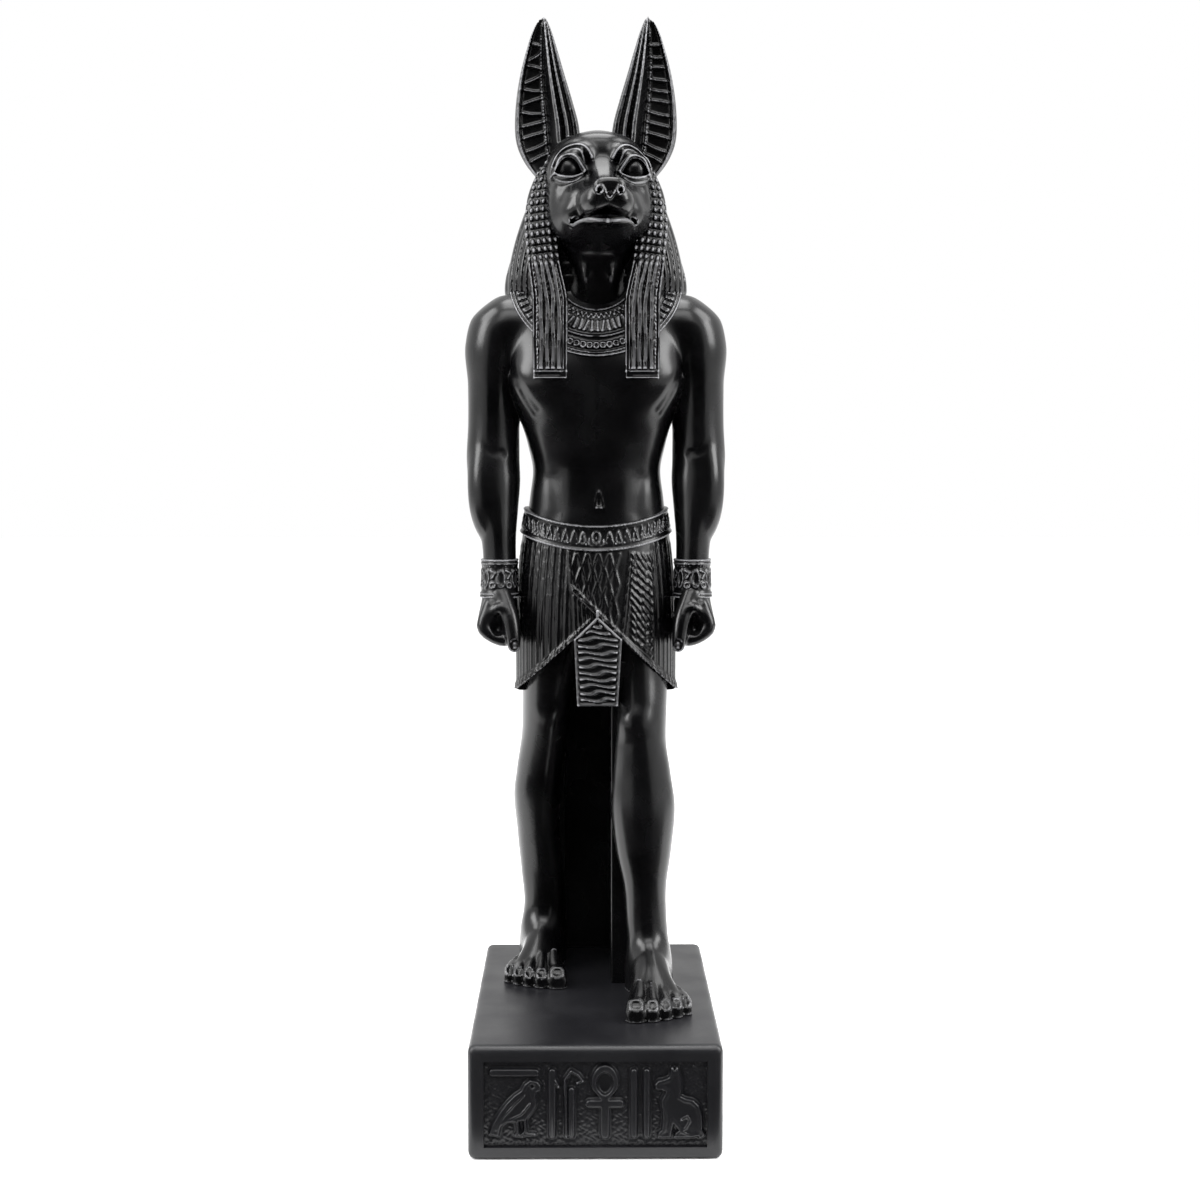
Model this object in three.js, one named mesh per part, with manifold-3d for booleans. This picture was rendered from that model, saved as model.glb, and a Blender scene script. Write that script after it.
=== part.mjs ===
// A standing jackal-headed figure on a low plinth, cast in one black resin.
// Millimetres, +Z up, the figure faces -Y, origin at the middle of the plinth's underside.
import * as THREE from 'three';
import { mergeVertices } from 'three/addons/utils/BufferGeometryUtils.js';
import Module from 'manifold-3d';

const wasm = await Module();
wasm.setup();

// Driving dimensions of the plinth
const plinthWidth = 65;
const plinthDepth = 96;
const plinthHeight = 29.7;
const plinthEdge = 1.6;
const panelBorderSide = 4.1;
const panelBorderTop = 3.9;
const panelBorderBottom = 3.4;
const panelDepth = 1.1;
const signRelief = 0.8;

// Driving dimensions of the figure and of what stiffens it
const figureHeight = 269.6;
const figureAside = 0.55;
const pillarWidth = 26;
const pillarThickness = 4.5;
const pillarInset = 1.2;
const webThickness = 5.5;
const pleatPitch = 2.8;
const strandPitch = 3.9;
const trimRelief = 0.7;
const beltHeight = 7;
const braceletHeight = 10.6;

// The figure is drawn on a grid 271 squares high, from the soles to the ear tips.
// It stands a little to the right of the plinth's middle.
const gridHeight = 271;
const grid = figureHeight / gridHeight;
const pillarBack = 47;
const figureShift = plinthDepth / 2 - pillarInset - pillarBack * grid;

// Edges shorter than this are merged where forms are joined or cut.
const joinTolerance = 0.05;

const LEFT = -1;
const RIGHT = 1;
const TURN = Math.PI * 2;

// Solids

function solidFrom(geometry) {
  const bare = new THREE.BufferGeometry();
  bare.setAttribute('position', geometry.getAttribute('position'));
  bare.setIndex(geometry.getIndex());
  const merged = mergeVertices(bare, 1e-4);
  return new wasm.Manifold(new wasm.Mesh({
    numProp: 3,
    vertProperties: new Float32Array(merged.getAttribute('position').array),
    triVerts: new Uint32Array(merged.getIndex().array),
    tolerance: joinTolerance,
  }));
}

function geometryFrom(solid) {
  const mesh = solid.getMesh();
  const geometry = new THREE.BufferGeometry();
  geometry.setAttribute('position', new THREE.BufferAttribute(new Float32Array(mesh.vertProperties), 3));
  geometry.setIndex(new THREE.BufferAttribute(new Uint32Array(mesh.triVerts), 1));
  geometry.computeVertexNormals();
  return geometry;
}

function joined(solids) {
  let whole = solids[0];
  for (const solid of solids.slice(1)) {
    whole = whole.add(solid);
  }
  return whole;
}

function moved(geometry, x, y, z) {
  geometry.translate(x, y, z);
  return solidFrom(geometry);
}

// Six times the volume that a closed skin of triangles encloses, negative if it is inside out.
function signedVolume(positions, index) {
  let total = 0;
  const corner = [new THREE.Vector3(), new THREE.Vector3(), new THREE.Vector3()];
  for (let i = 0; i < index.length; i += 3) {
    for (let k = 0; k < 3; k += 1) {
      corner[k].fromArray(positions, index[i + k] * 3);
    }
    total += corner[0].dot(corner[1].cross(corner[2]));
  }
  return total;
}

// Joins rings of equally many points into one closed skin, with a fan over each end ring.
function loft(rings) {
  const count = rings[0].length;
  const positions = [];
  const index = [];
  for (const ring of rings) {
    for (const point of ring) {
      positions.push(point.x, point.y, point.z);
    }
  }
  for (let r = 0; r < rings.length - 1; r += 1) {
    for (let i = 0; i < count; i += 1) {
      const a = r * count + i;
      const b = r * count + (i + 1) % count;
      index.push(a, b, b + count, a, b + count, a + count);
    }
  }
  for (const r of [0, rings.length - 1]) {
    const centre = new THREE.Vector3();
    for (const point of rings[r]) {
      centre.addScaledVector(point, 1 / count);
    }
    const hub = positions.length / 3;
    positions.push(centre.x, centre.y, centre.z);
    for (let i = 0; i < count; i += 1) {
      const a = r * count + i;
      const b = r * count + (i + 1) % count;
      index.push(...(r === 0 ? [hub, b, a] : [hub, a, b]));
    }
  }
  if (signedVolume(positions, index) < 0) {
    for (let i = 0; i < index.length; i += 3) {
      [index[i], index[i + 1]] = [index[i + 1], index[i]];
    }
  }
  const geometry = new THREE.BufferGeometry();
  geometry.setAttribute('position', new THREE.Float32BufferAttribute(positions, 3));
  geometry.setIndex(index);
  return solidFrom(geometry);
}

// Forms of the figure. A station is a level with its centre and its half sizes, in grid squares.

function station(level, x, y, side, front, back = front) {
  return { level, x, y, side, front, back };
}

function between(stations, level) {
  let i = 0;
  while (i < stations.length - 2 && level > stations[i + 1].level) {
    i += 1;
  }
  const low = stations[i];
  const high = stations[i + 1];
  const share = THREE.MathUtils.clamp((level - low.level) / (high.level - low.level), 0, 1);
  const mix = key => low[key] + (high[key] - low[key]) * share;
  return station(level, mix('x'), mix('y'), mix('side'), mix('front'), mix('back'));
}

// A point on a rounded section at an angle from +X, where -Y is the front.
function sectionPoint(at, angle, square = 2, swell = 0) {
  const power = 2 / square;
  const c = Math.cos(angle);
  const s = Math.sin(angle);
  const depth = (s < 0 ? at.front : at.back) + swell;
  return [
    at.x + (at.side + swell) * Math.sign(c) * Math.abs(c) ** power,
    at.y + depth * Math.sign(s) * Math.abs(s) ** power,
  ];
}

function onGrid(x, y, z) {
  return new THREE.Vector3(x, y, z).multiplyScalar(grid);
}

// An upright form: level is the height, and a groove depth cuts every other point inward.
function upright(stations, sides, square = 2, groove = 0) {
  return loft(stations.map(at => Array.from({ length: sides }, (_, i) => {
    const cut = i % 2 === 0 ? 0 : -groove;
    const [x, y] = sectionPoint(at, (TURN * i) / sides, square, cut);
    return onGrid(x, y, at.level);
  })));
}

// A form that lies along Y: level is the place along Y, y holds the height, front is down and back is up.
function lying(stations, sides, square = 2) {
  return loft(stations.map(at => Array.from({ length: sides }, (_, i) => {
    const [x, z] = sectionPoint(at, (TURN * i) / sides, square);
    return onGrid(x, at.level, z);
  })));
}

function mirrored(stations, hand) {
  return stations.map(at => ({ ...at, x: at.x * hand }));
}

function ball(x, y, z, rx, ry, rz, across = 12, down = 8) {
  const geometry = new THREE.SphereGeometry(1, across, down);
  geometry.rotateX(Math.PI / 2);
  geometry.scale(rx * grid, ry * grid, rz * grid);
  return moved(geometry, x * grid, y * grid, z * grid);
}

// The front of a form at a place across and a height: its depth and the direction it faces.
function frontAt(forms, x, z) {
  let nearest = null;
  for (const { stations, square } of forms) {
    const at = between(stations, z);
    const share = Math.abs((x - at.x) / at.side);
    if (share < 0.995) {
      const depth = at.y - at.front * (1 - share ** square) ** (1 / square);
      nearest = nearest === null ? depth : Math.min(nearest, depth);
    }
  }
  return nearest;
}

function facing(forms, x, z) {
  const step = 0.4;
  const slopeX = (frontAt(forms, x + step, z) - frontAt(forms, x - step, z)) / (2 * step);
  const slopeZ = (frontAt(forms, x, z + step) - frontAt(forms, x, z - step)) / (2 * step);
  return new THREE.Vector3(slopeX, -1, slopeZ).normalize();
}

// A raised strip with a flat crown along a path of places, each with the direction it faces.
function strip(path, width, height, sink = 1) {
  const rings = path.map(({ place, out }, i) => {
    const ahead = path[Math.min(i + 1, path.length - 1)].place;
    const behind = path[Math.max(i - 1, 0)].place;
    const along = ahead.clone().sub(behind).normalize();
    const across = along.clone().cross(out).normalize().multiplyScalar(width / 2);
    const up = out.clone().multiplyScalar(height);
    const down = out.clone().multiplyScalar(-sink);
    return [
      place.clone().add(across).add(down),
      place.clone().addScaledVector(across, 0.7).add(up),
      place.clone().addScaledVector(across, -0.7).add(up),
      place.clone().sub(across).add(down),
    ];
  });
  return loft(rings);
}

function pathOn(forms, points) {
  return points.map(([x, z]) => ({
    place: onGrid(x, frontAt(forms, x, z), z),
    out: facing(forms, x, z),
  }));
}

function prism(outline, depth) {
  return new THREE.ExtrudeGeometry(new THREE.Shape(outline.map(([x, y]) => new THREE.Vector2(x, y))), {
    depth,
    bevelEnabled: false,
  });
}

// Torso, neck and kilt

const torsoStations = [
  station(122, 0, 20, 20.4, 15.5, 13.5),
  station(138, 0.2, 20, 18.9, 14.4, 11.2),
  station(145, 0.2, 20, 18.1, 14, 11),
  station(152, 0.2, 20, 19.4, 14.9, 12.2),
  station(165, 0, 20, 23.2, 16.8, 14.6),
  station(179, 0, 20, 26.2, 16.6, 15.2),
  station(185, 0, 20, 26.6, 15, 14.4),
  station(190, 0, 20, 25.6, 12.8, 13),
  station(194, 0, 20, 22, 10.4, 11.6),
  station(198, 0, 19, 13, 8.6, 9.5),
];

const neckStations = [
  station(184, 0.2, 14, 11.6, 9, 10),
  station(194, 0.3, 14, 9.8, 8.6, 10),
  station(204, 0.9, 13, 9.4, 9.2, 10),
  station(214, 1.2, 11, 10.4, 11, 12),
];

const kiltStations = [
  station(82.5, 0, 20.5, 22.8, 19.5, 15.6),
  station(103, 0, 20.3, 22.7, 19, 15.8),
  station(127, 0, 20, 20.9, 16, 13.2),
];

const hemApex = [0.2, 104.8];
const hemSide = [23.6, 82.4];
const hemFold = [-6.6, 112];

function kiltForm() {
  const pleats = Math.round((TURN * 21 * grid) / pleatPitch);
  const whole = upright(kiltStations, pleats * 2, 2.1, 0.45);
  const opening = prism([
    [hemApex[0] * grid, hemApex[1] * grid],
    [-hemSide[0] * grid, hemSide[1] * grid],
    [-hemSide[0] * grid, (hemSide[1] - 6) * grid],
    [hemSide[0] * grid, (hemSide[1] - 6) * grid],
    [hemSide[0] * grid, hemSide[1] * grid],
  ], 40 * grid);
  opening.rotateX(Math.PI / 2);
  opening.translate(0, 16 * grid, 0);
  return whole.subtract(solidFrom(opening));
}

function kiltHems() {
  const forms = [{ stations: kiltStations, square: 2.1 }];
  const reach = 19.5;
  const line = (from, to, steps) => Array.from({ length: steps + 1 }, (_, i) => {
    const share = i / steps;
    return [from[0] + (to[0] - from[0]) * share, from[1] + (to[1] - from[1]) * share];
  });
  const sideAt = reach / hemSide[0];
  const drop = hemApex[1] - (hemApex[1] - hemSide[1]) * sideAt;
  const leftEdge = line([-1.8, 103.2], [-reach, drop], 6);
  const rightEdge = line(hemFold, [reach, drop], 9);
  const fold = line([10.5, 121], [8.6, 99], 3);
  return [
    strip(pathOn(forms, leftEdge), 1.8, 0.7),
    strip(pathOn(forms, rightEdge), 1.8, 0.8),
    strip(pathOn(forms, fold), 0.9, 0.5),
  ];
}

// The tab hangs from the crossing of the hems, its ribs run across it inside a plain border.
const tabOutline = [
  { z: 80.2, left: -5.3, right: 6 },
  { z: 98.8, left: -6.2, right: 7.1 },
  { z: 104.6, left: 0, right: 0.6 },
];

function tab() {
  const front = 0.6;
  const back = 6.6;
  const border = 0.9;
  const ribs = 11;
  const rings = [];
  const edgeAt = (z) => {
    const upper = tabOutline.find(level => level.z >= z) ?? tabOutline[2];
    const lower = tabOutline[Math.max(0, tabOutline.indexOf(upper) - 1)];
    const share = upper === lower ? 0 : (z - lower.z) / (upper.z - lower.z);
    return [
      lower.left + (upper.left - lower.left) * share,
      lower.right + (upper.right - lower.right) * share,
    ];
  };
  const low = tabOutline[0].z;
  const high = tabOutline[2].z;
  for (let i = 0; i <= ribs * 2; i += 1) {
    const z = low + ((high - low) * i) / (ribs * 2);
    const [left, right] = edgeAt(z);
    const depth = i % 2 === 0 ? 0 : 0.6;
    rings.push([
      onGrid(left, back, z),
      onGrid(left, front, z),
      onGrid(Math.min(left + border, (left + right) / 2 - 0.05), front + depth, z),
      onGrid(Math.max(right - border, (left + right) / 2 + 0.05), front + depth, z),
      onGrid(right, front, z),
      onGrid(right, back, z),
    ]);
  }
  return loft(rings);
}

// The belt dips towards the navel, so its rings aren't level.
function beltLevel(angle) {
  const towardFront = Math.max(0, -Math.sin(angle));
  return 131.3 - 4.7 * towardFront ** 1.6;
}

// Every other point of a band's middle ring is raised, which makes a row of triangles between two rims.
function bandProfile(half, rim) {
  return [
    { rise: -half, low: -0.4, high: -0.4 },
    { rise: -half, low: 1.3, high: 1.3 },
    { rise: rim - half, low: 1.2, high: 1.2 },
    { rise: rim - half + 0.5, low: 0.1, high: 0.8 },
    { rise: half - rim - 0.3, low: 0.8, high: 0.1 },
    { rise: half - rim, low: 1.2, high: 1.2 },
    { rise: half, low: 1.3, high: 1.3 },
    { rise: half, low: -0.4, high: -0.4 },
  ];
}

function bandRings(profile, sides, pointAt) {
  return profile.map(({ rise, low, high }) => Array.from({ length: sides }, (_, i) => (
    pointAt((TURN * i) / sides, rise, i % 2 === 0 ? low : high)
  )));
}

function belt() {
  const profile = bandProfile(beltHeight / 2 / grid, 1.3);
  return loft(bandRings(profile, 26, (angle, rise, lift) => {
    const level = beltLevel(angle) + rise;
    const at = between(kiltStations, Math.min(level, 126));
    const [x, y] = sectionPoint(at, angle, 2.1, lift);
    return onGrid(x, y, level);
  }));
}

function torso() {
  const pieces = [upright(torsoStations, 18, 2.3), upright(neckStations, 12)];
  for (const hand of [LEFT, RIGHT]) {
    pieces.push(ball(10 * hand, 12, 169.6, 12, 9, 8.6, 10, 6));
  }
  const whole = joined(pieces);
  return whole.subtract(ball(0.4, 4.6, 137.6, 1.1, 2.6, 3.2, 6, 4));
}

// Arms and fists

const armStations = [
  station(194.2, 24.6, 21, 3, 4),
  station(192, 25.2, 21, 5.6, 7.4),
  station(187, 26.7, 21, 8.8, 10.6),
  station(181, 27.8, 21, 9.1, 11.4),
  station(169, 28.8, 21, 7.5, 10.2),
  station(158, 29, 20.2, 7.3, 8.8),
  station(149, 29.2, 19.4, 7.5, 8.4),
  station(142, 28.8, 18.4, 7.3, 8.2),
  station(135, 28.4, 17, 6.4, 7.4),
  station(127, 27.6, 15.2, 5, 6.2),
  station(117, 27.2, 13.8, 4.6, 5.6),
  station(104, 27.3, 12.4, 5.4, 6.4),
];

function bracelet(hand) {
  const middle = 115;
  const profile = bandProfile(braceletHeight / 2 / grid, 2.2);
  const stations = mirrored(armStations, hand).reverse();
  return loft(bandRings(profile, 12, (angle, rise, lift) => {
    const at = between(stations, middle + rise);
    const [x, y] = sectionPoint(at, angle, 2, lift * 0.5);
    return onGrid(x, y, middle + rise);
  }));
}

// Each finger is a curled slab: down from the knuckle, in under the palm and up again.
function fist(hand) {
  const fingerOutline = [[32.8, 106], [33.7, 101], [31.8, 98], [25, 95.6], [22.6, 98.6], [26, 107]];
  const pieces = [];
  const fingers = 4;
  for (let i = 0; i < fingers; i += 1) {
    const width = 3.9;
    const near = 4.2 + i * width;
    const lift = [0.4, 0, 0.3, 1.1][i];
    const rings = [[0, 0.9], [width / 2, 1], [width - 0.2, 0.9]].map(([along, size]) => (
      fingerOutline.map(([x, z]) => onGrid(
        (28.4 + (x - 28.4) * size) * hand,
        near + along,
        102 + (z + lift - 102) * size,
      ))));
    pieces.push(loft(rings));
  }
  pieces.push(upright(mirrored([
    station(99, 28, 12.4, 5, 7.6),
    station(109, 27.6, 12.8, 5.2, 6.6),
  ], hand), 6));
  pieces.push(thumb(hand));
  const hollow = ball(27.6 * hand, 4.2, 101.4, 2.2, 2.4, 2.6, 6, 4);
  return joined(pieces).subtract(hollow);
}

function thumb(hand) {
  return upright(mirrored([
    station(93.8, 21.7, 5.4, 1.3, 1.3),
    station(95.4, 21.9, 5.2, 2.3, 2.3),
    station(103, 23.6, 5.2, 2.6, 3),
    station(110, 25.4, 9.6, 2.8, 3.4),
  ], hand), 6);
}

// Legs and feet. The viewer's right leg steps forward.

const rearLeg = [
  station(-2, -15.6, 30.2, 5.6, 5.6),
  station(10, -15.5, 30.6, 6.5, 6.6),
  station(18, -15.3, 31, 6, 6.4),
  station(27, -15.9, 31.2, 6.2, 6.8),
  station(38, -16.9, 30.6, 6.2, 8.2),
  station(50, -17.2, 29, 6.9, 9.2),
  station(58, -16.4, 27.2, 6.8, 8.6),
  station(68, -14.9, 25, 6.8, 9.4),
  station(77, -14.1, 23.4, 7.2, 10.9),
  station(100, -11, 20, 9.8, 13),
];

const frontLeg = [
  station(-2, 14.6, 2.6, 5.6, 5.6),
  station(10, 14.6, 3.2, 5.9, 6.2),
  station(19, 14.1, 4, 5.8, 6),
  station(28, 13.7, 5.4, 6.1, 6.8),
  station(38, 13.3, 7, 7.9, 8.4),
  station(51, 13.1, 8.4, 9.2, 9.4),
  station(60, 12.7, 9, 8.4, 8.9),
  station(70, 12.2, 10.4, 7.6, 9.6),
  station(79, 12.3, 13.2, 7.8, 11),
  station(88, 11.9, 16, 8.4, 11.6),
  station(100, 11.2, 18.4, 8.6, 12.4),
];

// A foot lies along Y: y is the height of its widest line, front reaches down and back reaches up.
function foot(hand, middle, heel, lead) {
  const body = [
    station(9.4, 0, 2.6, 2.6, 3, 3.6),
    station(7.6, 0, 3, 5.2, 4, 6.4),
    station(-3, 0, 3, 5.9, 4, 12),
    station(-11, 0.4, 2.6, 5.8, 4, 9.4),
    station(-17, 0.9, 2.4, 6.8, 4, 6.4),
    station(-22, 1.3, 2.2, 8.2, 4, 4.6),
    station(-26, 1.5, 2, 8.4, 3, 3),
  ];
  const placed = body.map(at => ({ ...at, level: at.level + heel, x: middle + at.x * hand }));
  const pieces = [lying(placed, 10)];
  const toes = [
    { across: -4.6, half: 2.75, tip: 0, high: 5.9 },
    { across: -0.2, half: 2.05, tip: 0.7, high: 5.2 },
    { across: 3.3, half: 1.85, tip: 2.2, high: 4.9 },
    { across: 6.4, half: 1.7, tip: 4.1, high: 4.6 },
    { across: 9, half: 1.6, tip: 6.4, high: 4.2 },
  ];
  for (const { across, half, tip, high } of toes) {
    const x = middle + across * hand;
    const end = lead + tip;
    pieces.push(lying([
      station(end, x, 1.8, half * 0.55, 2, high * 0.22),
      station(end + 0.8, x, 1.8, half * 0.9, 3, high * 0.5),
      station(end + 3, x, 1.8, half, 3, high * 0.62),
      station(end + 9, x - 0.7 * hand, 2, half * 0.8, 3, high * 0.75),
    ], 6));
  }
  return joined(pieces);
}

// Head, turned a little towards the viewer's right

const headTurn = THREE.MathUtils.degToRad(5.5);
const headAxis = [0.2, 15];

const skullStations = [
  station(206, 0, 12, 8.6, 9, 12),
  station(213, 0, 11, 12, 10.6, 15),
  station(221, 0, 11, 14.6, 12.5, 17),
  station(229, 0, 11.6, 14.6, 13, 17),
  station(235, 0, 12, 12, 11.6, 15),
  station(240, 0, 13.6, 5.6, 5.6, 8),
];

// The muzzle lies along Y: front reaches down and back reaches up.
const muzzleStations = [
  station(8, 0, 220, 12.6, 8, 8),
  station(-1, 0, 219, 10.4, 6.2, 6),
  station(-5, 0, 218, 8.6, 5, 5.4),
  station(-13, 0, 217.6, 7, 4.1, 4.6),
  station(-17, 0, 218.2, 5.6, 3.4, 3.9),
  station(-19.4, 0, 218.8, 3, 1.8, 2.6),
];

const bridgeStations = [
  station(7, 0, 228, 6, 4, 6.4),
  station(-3, 0, 224.6, 4, 4, 4.2),
  station(-10, 0, 221.4, 3.7, 3, 2.9),
  station(-17.4, 0, 220.4, 3.6, 2, 2),
];

const jawStations = [
  station(10, 0, 212.4, 8.4, 4, 5),
  station(-3, 0, 212.8, 7.2, 3, 3.8),
  station(-11, 0, 213.2, 6, 2.2, 3),
  station(-15, 0, 213.8, 4, 1.4, 2),
];

function eye(hand) {
  const x = 8.9 * hand;
  const parts = [ball(x, 0.6, 226.4, 2.9, 2.7, 2.8, 8, 4)];
  const lid = (share, rise, width) => {
    const path = [];
    const steps = 4;
    for (let i = 0; i <= steps; i += 1) {
      const turn = Math.PI * (i / steps);
      const across = -Math.cos(turn) * (4.3 + share);
      const up = Math.sin(turn) * rise;
      const sweep = 0.35 * Math.abs(across) ** 1.35 * 0.32;
      path.push({
        place: onGrid(x + across * hand, -1.1 + sweep + (across > 0 ? across * 0.22 : 0), 226.2 + up),
        out: new THREE.Vector3(0.2 * hand, -1, 0.1 * Math.sign(rise)).normalize(),
      });
    }
    return strip(path, width * grid, 0.45 * grid, 1.6 * grid);
  };
  parts.push(lid(0, 3.1, 0.9), lid(0, -2.9, 0.9), lid(1.3, 5.8, 1.2));
  return joined(parts);
}

function noseAndMouth() {
  const pad = lying([
    station(-16, 0, 221, 3.4, 2, 1.6),
    station(-18.4, 0, 220.6, 4.1, 2.6, 2),
    station(-20, 0, 220.2, 3.4, 2.4, 1.7),
    station(-20.6, 0, 219.9, 1.8, 1.4, 1),
  ], 8);
  const pieces = [pad];
  const out = new THREE.Vector3(0, -1, 0);
  for (const hand of [LEFT, RIGHT]) {
    pieces.push(strip([
      { place: onGrid(0, -17, 215.6), out },
      { place: onGrid(3.4 * hand, -15.6, 214.8), out: new THREE.Vector3(0.5 * hand, -1, 0).normalize() },
      { place: onGrid(6.4 * hand, -10.4, 213.9), out: new THREE.Vector3(0.8 * hand, -0.6, 0).normalize() },
      { place: onGrid(7.9 * hand, -5.6, 213.8), out: new THREE.Vector3(0.9 * hand, -0.5, 0).normalize() },
    ], 1.1 * grid, 0.5 * grid, 1.4 * grid));
  }
  let whole = joined(pieces);
  for (const hand of [LEFT, RIGHT]) {
    whole = whole.subtract(ball(2.3 * hand, -19.9, 219.7, 0.9, 1.3, 0.8, 6, 4));
  }
  return whole;
}

// An ear is a leaf with its outer half sunk inside a rim and crossed by thin bars.
const earLevels = [
  { z: 224, outer: 14.8, inner: 8 },
  { z: 226.8, outer: 17, inner: 6 },
  { z: 230, outer: 19.5, inner: 5 },
  { z: 234, outer: 21.5, inner: 4.2 },
  { z: 241, outer: 22.6, inner: 4.4 },
  { z: 248, outer: 22.2, inner: 6.4 },
  { z: 256, outer: 20.9, inner: 8.6 },
  { z: 262.5, outer: 19.2, inner: 10.5 },
  { z: 267, outer: 17.7, inner: 12 },
  { z: 269.8, outer: 16.1, inner: 13.4 },
  { z: 271, outer: 15, inner: 14.3 },
];

function earPlace(level) {
  const middle = (level.outer + level.inner) / 2;
  const half = (level.outer - level.inner) / 2;
  const y = 16 + 0.075 * (level.z - 223);
  const open = Math.min(1, half / 6);
  return { middle, half, y, open };
}

function ear(hand) {
  const rings = earLevels.map((level) => {
    const { middle, half, y, open } = earPlace(level);
    const section = [
      [half, 1.2], [half - 0.9, -1.8], [half - 2.3, 0.7], [0.6, 0.9],
      [-0.4, -2.9], [-half * 0.5, -1], [-half, 0.4], [-half * 0.5, 3.4], [half * 0.5, 3.6],
    ];
    return section.map(([across, depth]) => {
      const limited = THREE.MathUtils.clamp(across, -half, half);
      return onGrid((middle + limited) * hand, y + depth * (0.35 + 0.65 * open), level.z);
    });
  });
  const pieces = [loft(rings)];
  const bars = 7;
  for (let i = 0; i < bars; i += 1) {
    const z = 232 + i * 4.4;
    const slant = (i % 2 === 0 ? 1.3 : -0.6) * (i < 5 ? 1.3 : 0.8);
    const upper = earLevels.find(level => level.z >= z + 1);
    const { middle, half, y } = earPlace(upper);
    pieces.push(strip([
      { place: onGrid((middle + 1) * hand, y + 0.4, z + slant), out: new THREE.Vector3(0, -1, 0) },
      { place: onGrid((middle + half - 2.5) * hand, y + 0.3, z - slant), out: new THREE.Vector3(0, -1, 0) },
    ], 0.7 * grid, 0.7 * grid, 0.8 * grid));
  }
  return joined(pieces);
}

function head() {
  const whole = joined([
    upright(skullStations, 14),
    lying(muzzleStations, 12, 2.2),
    lying(bridgeStations, 8, 2.4),
    lying(jawStations, 8, 2.2),
    eye(LEFT),
    eye(RIGHT),
    noseAndMouth(),
  ]);
  const centre = [headAxis[0] * grid, headAxis[1] * grid, 0];
  return whole
    .translate([-centre[0], -centre[1], 0])
    .rotate([0, 0, THREE.MathUtils.radToDeg(headTurn)])
    .translate(centre);
}

// Wig, lappets and collar

const wigStations = [
  station(177, 0, 30, 19, 8, 8),
  station(186, 0, 29, 21, 12, 9.4),
  station(196, 0, 25, 25.7, 16, 13.4),
  station(207, 0, 23.9, 23.4, 16, 14.2),
  station(222, 0, 22.6, 18.2, 15, 13.6),
  station(231, 0, 22, 14.4, 12.6, 12),
  station(237.5, 0, 20.6, 8.4, 8, 7.4),
];

function wig() {
  const strands = Math.round((TURN * 19 * grid) / strandPitch);
  return upright(wigStations, strands * 2, 2.2, 0.5);
}

// A lappet hangs over the chest with a flat bordered end and upright strands.
function lappet(hand) {
  const grooves = 5;
  const levels = [
    { z: 170.8, x: 12.6, half: 4.8, front: 1.6, back: 12 },
    { z: 190, x: 12.6, half: 4.9, front: 2.4, back: 14 },
    { z: 203, x: 14.4, half: 4.2, front: 3.5, back: 16 },
    { z: 214, x: 15.4, half: 4, front: 5.6, back: 18 },
    { z: 228, x: 13.6, half: 2.4, front: 11, back: 19 },
  ];
  const rings = levels.map(({ z, x, half, front, back }) => {
    const ring = [];
    for (let i = 0; i <= grooves * 2; i += 1) {
      const share = i / (grooves * 2);
      const cut = i % 2 === 0 ? 0.55 : 0;
      const round = 1.4 * (2 * share - 1) ** 4;
      ring.push(onGrid((x - half + 2 * half * share) * hand, front + cut + round, z));
    }
    ring.push(onGrid((x + half) * hand, back, z), onGrid((x - half) * hand, back, z));
    return ring;
  });
  const out = new THREE.Vector3(0, -1, 0);
  const end = strip([
    { place: onGrid(7.9 * hand, 2.6, 171.4), out },
    { place: onGrid(12.6 * hand, 1.6, 171.4), out },
    { place: onGrid(17.2 * hand, 2.6, 171.4), out },
  ], 1.3 * grid, 0.5 * grid, 3 * grid);
  return loft(rings).add(end);
}

// Bands of the collar follow arcs round the neck over chest and shoulders.
function collarArc(forms, size, from, to, steps) {
  const points = [];
  for (let i = 0; i <= steps; i += 1) {
    const turn = from + ((to - from) * i) / steps;
    points.push([24.6 * size * Math.sin(turn), 199.4 - 22.8 * size * Math.cos(turn)]);
  }
  return pathOn(forms, points);
}

function collar() {
  const forms = [
    { stations: torsoStations, square: 2.3 },
    { stations: [...armStations].reverse(), square: 2 },
    { stations: mirrored([...armStations].reverse(), LEFT), square: 2 },
  ];
  const ends = 1.22;
  const steps = 16;
  const profile = [
    { size: 0.42, low: -1.4, high: -1.4 },
    { size: 0.43, low: 1, high: 1 },
    { size: 0.51, low: 0.9, high: 0.9 },
    { size: 0.53, low: 0.2, high: 0.8 },
    { size: 0.6, low: 0.8, high: 0.2 },
    { size: 0.62, low: 0.9, high: 0.9 },
    { size: 0.65, low: 0.2, high: 0.9 },
    { size: 0.76, low: 0.2, high: 0.9 },
    { size: 0.79, low: 0.9, high: 0.9 },
    { size: 0.82, low: 0.1, high: 0.8 },
    { size: 0.9, low: 0.8, high: 0.1 },
    { size: 0.92, low: 1, high: 1 },
    { size: 1, low: 1, high: 1 },
    { size: 1.01, low: -1.4, high: -1.4 },
  ];
  const arcs = profile.map(({ size }) => collarArc(forms, size, -ends, ends, steps));
  return loft(arcs[0].map((_, i) => profile.map(({ low, high }, k) => {
    const { place, out } = arcs[k][i];
    const lift = i % 2 === 0 ? low : high;
    return place.clone().addScaledVector(out, lift > 0 ? lift * trimRelief * 1.3 : lift);
  })));
}

// A block between two corners, in grid squares across, in depth and in height
function block(left, right, front, back, low, high) {
  const geometry = new THREE.BoxGeometry(right - left, back - front, high - low);
  geometry.translate((left + right) / 2, (front + back) / 2, (low + high) / 2);
  geometry.scale(grid, grid, grid);
  return solidFrom(geometry);
}

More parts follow.
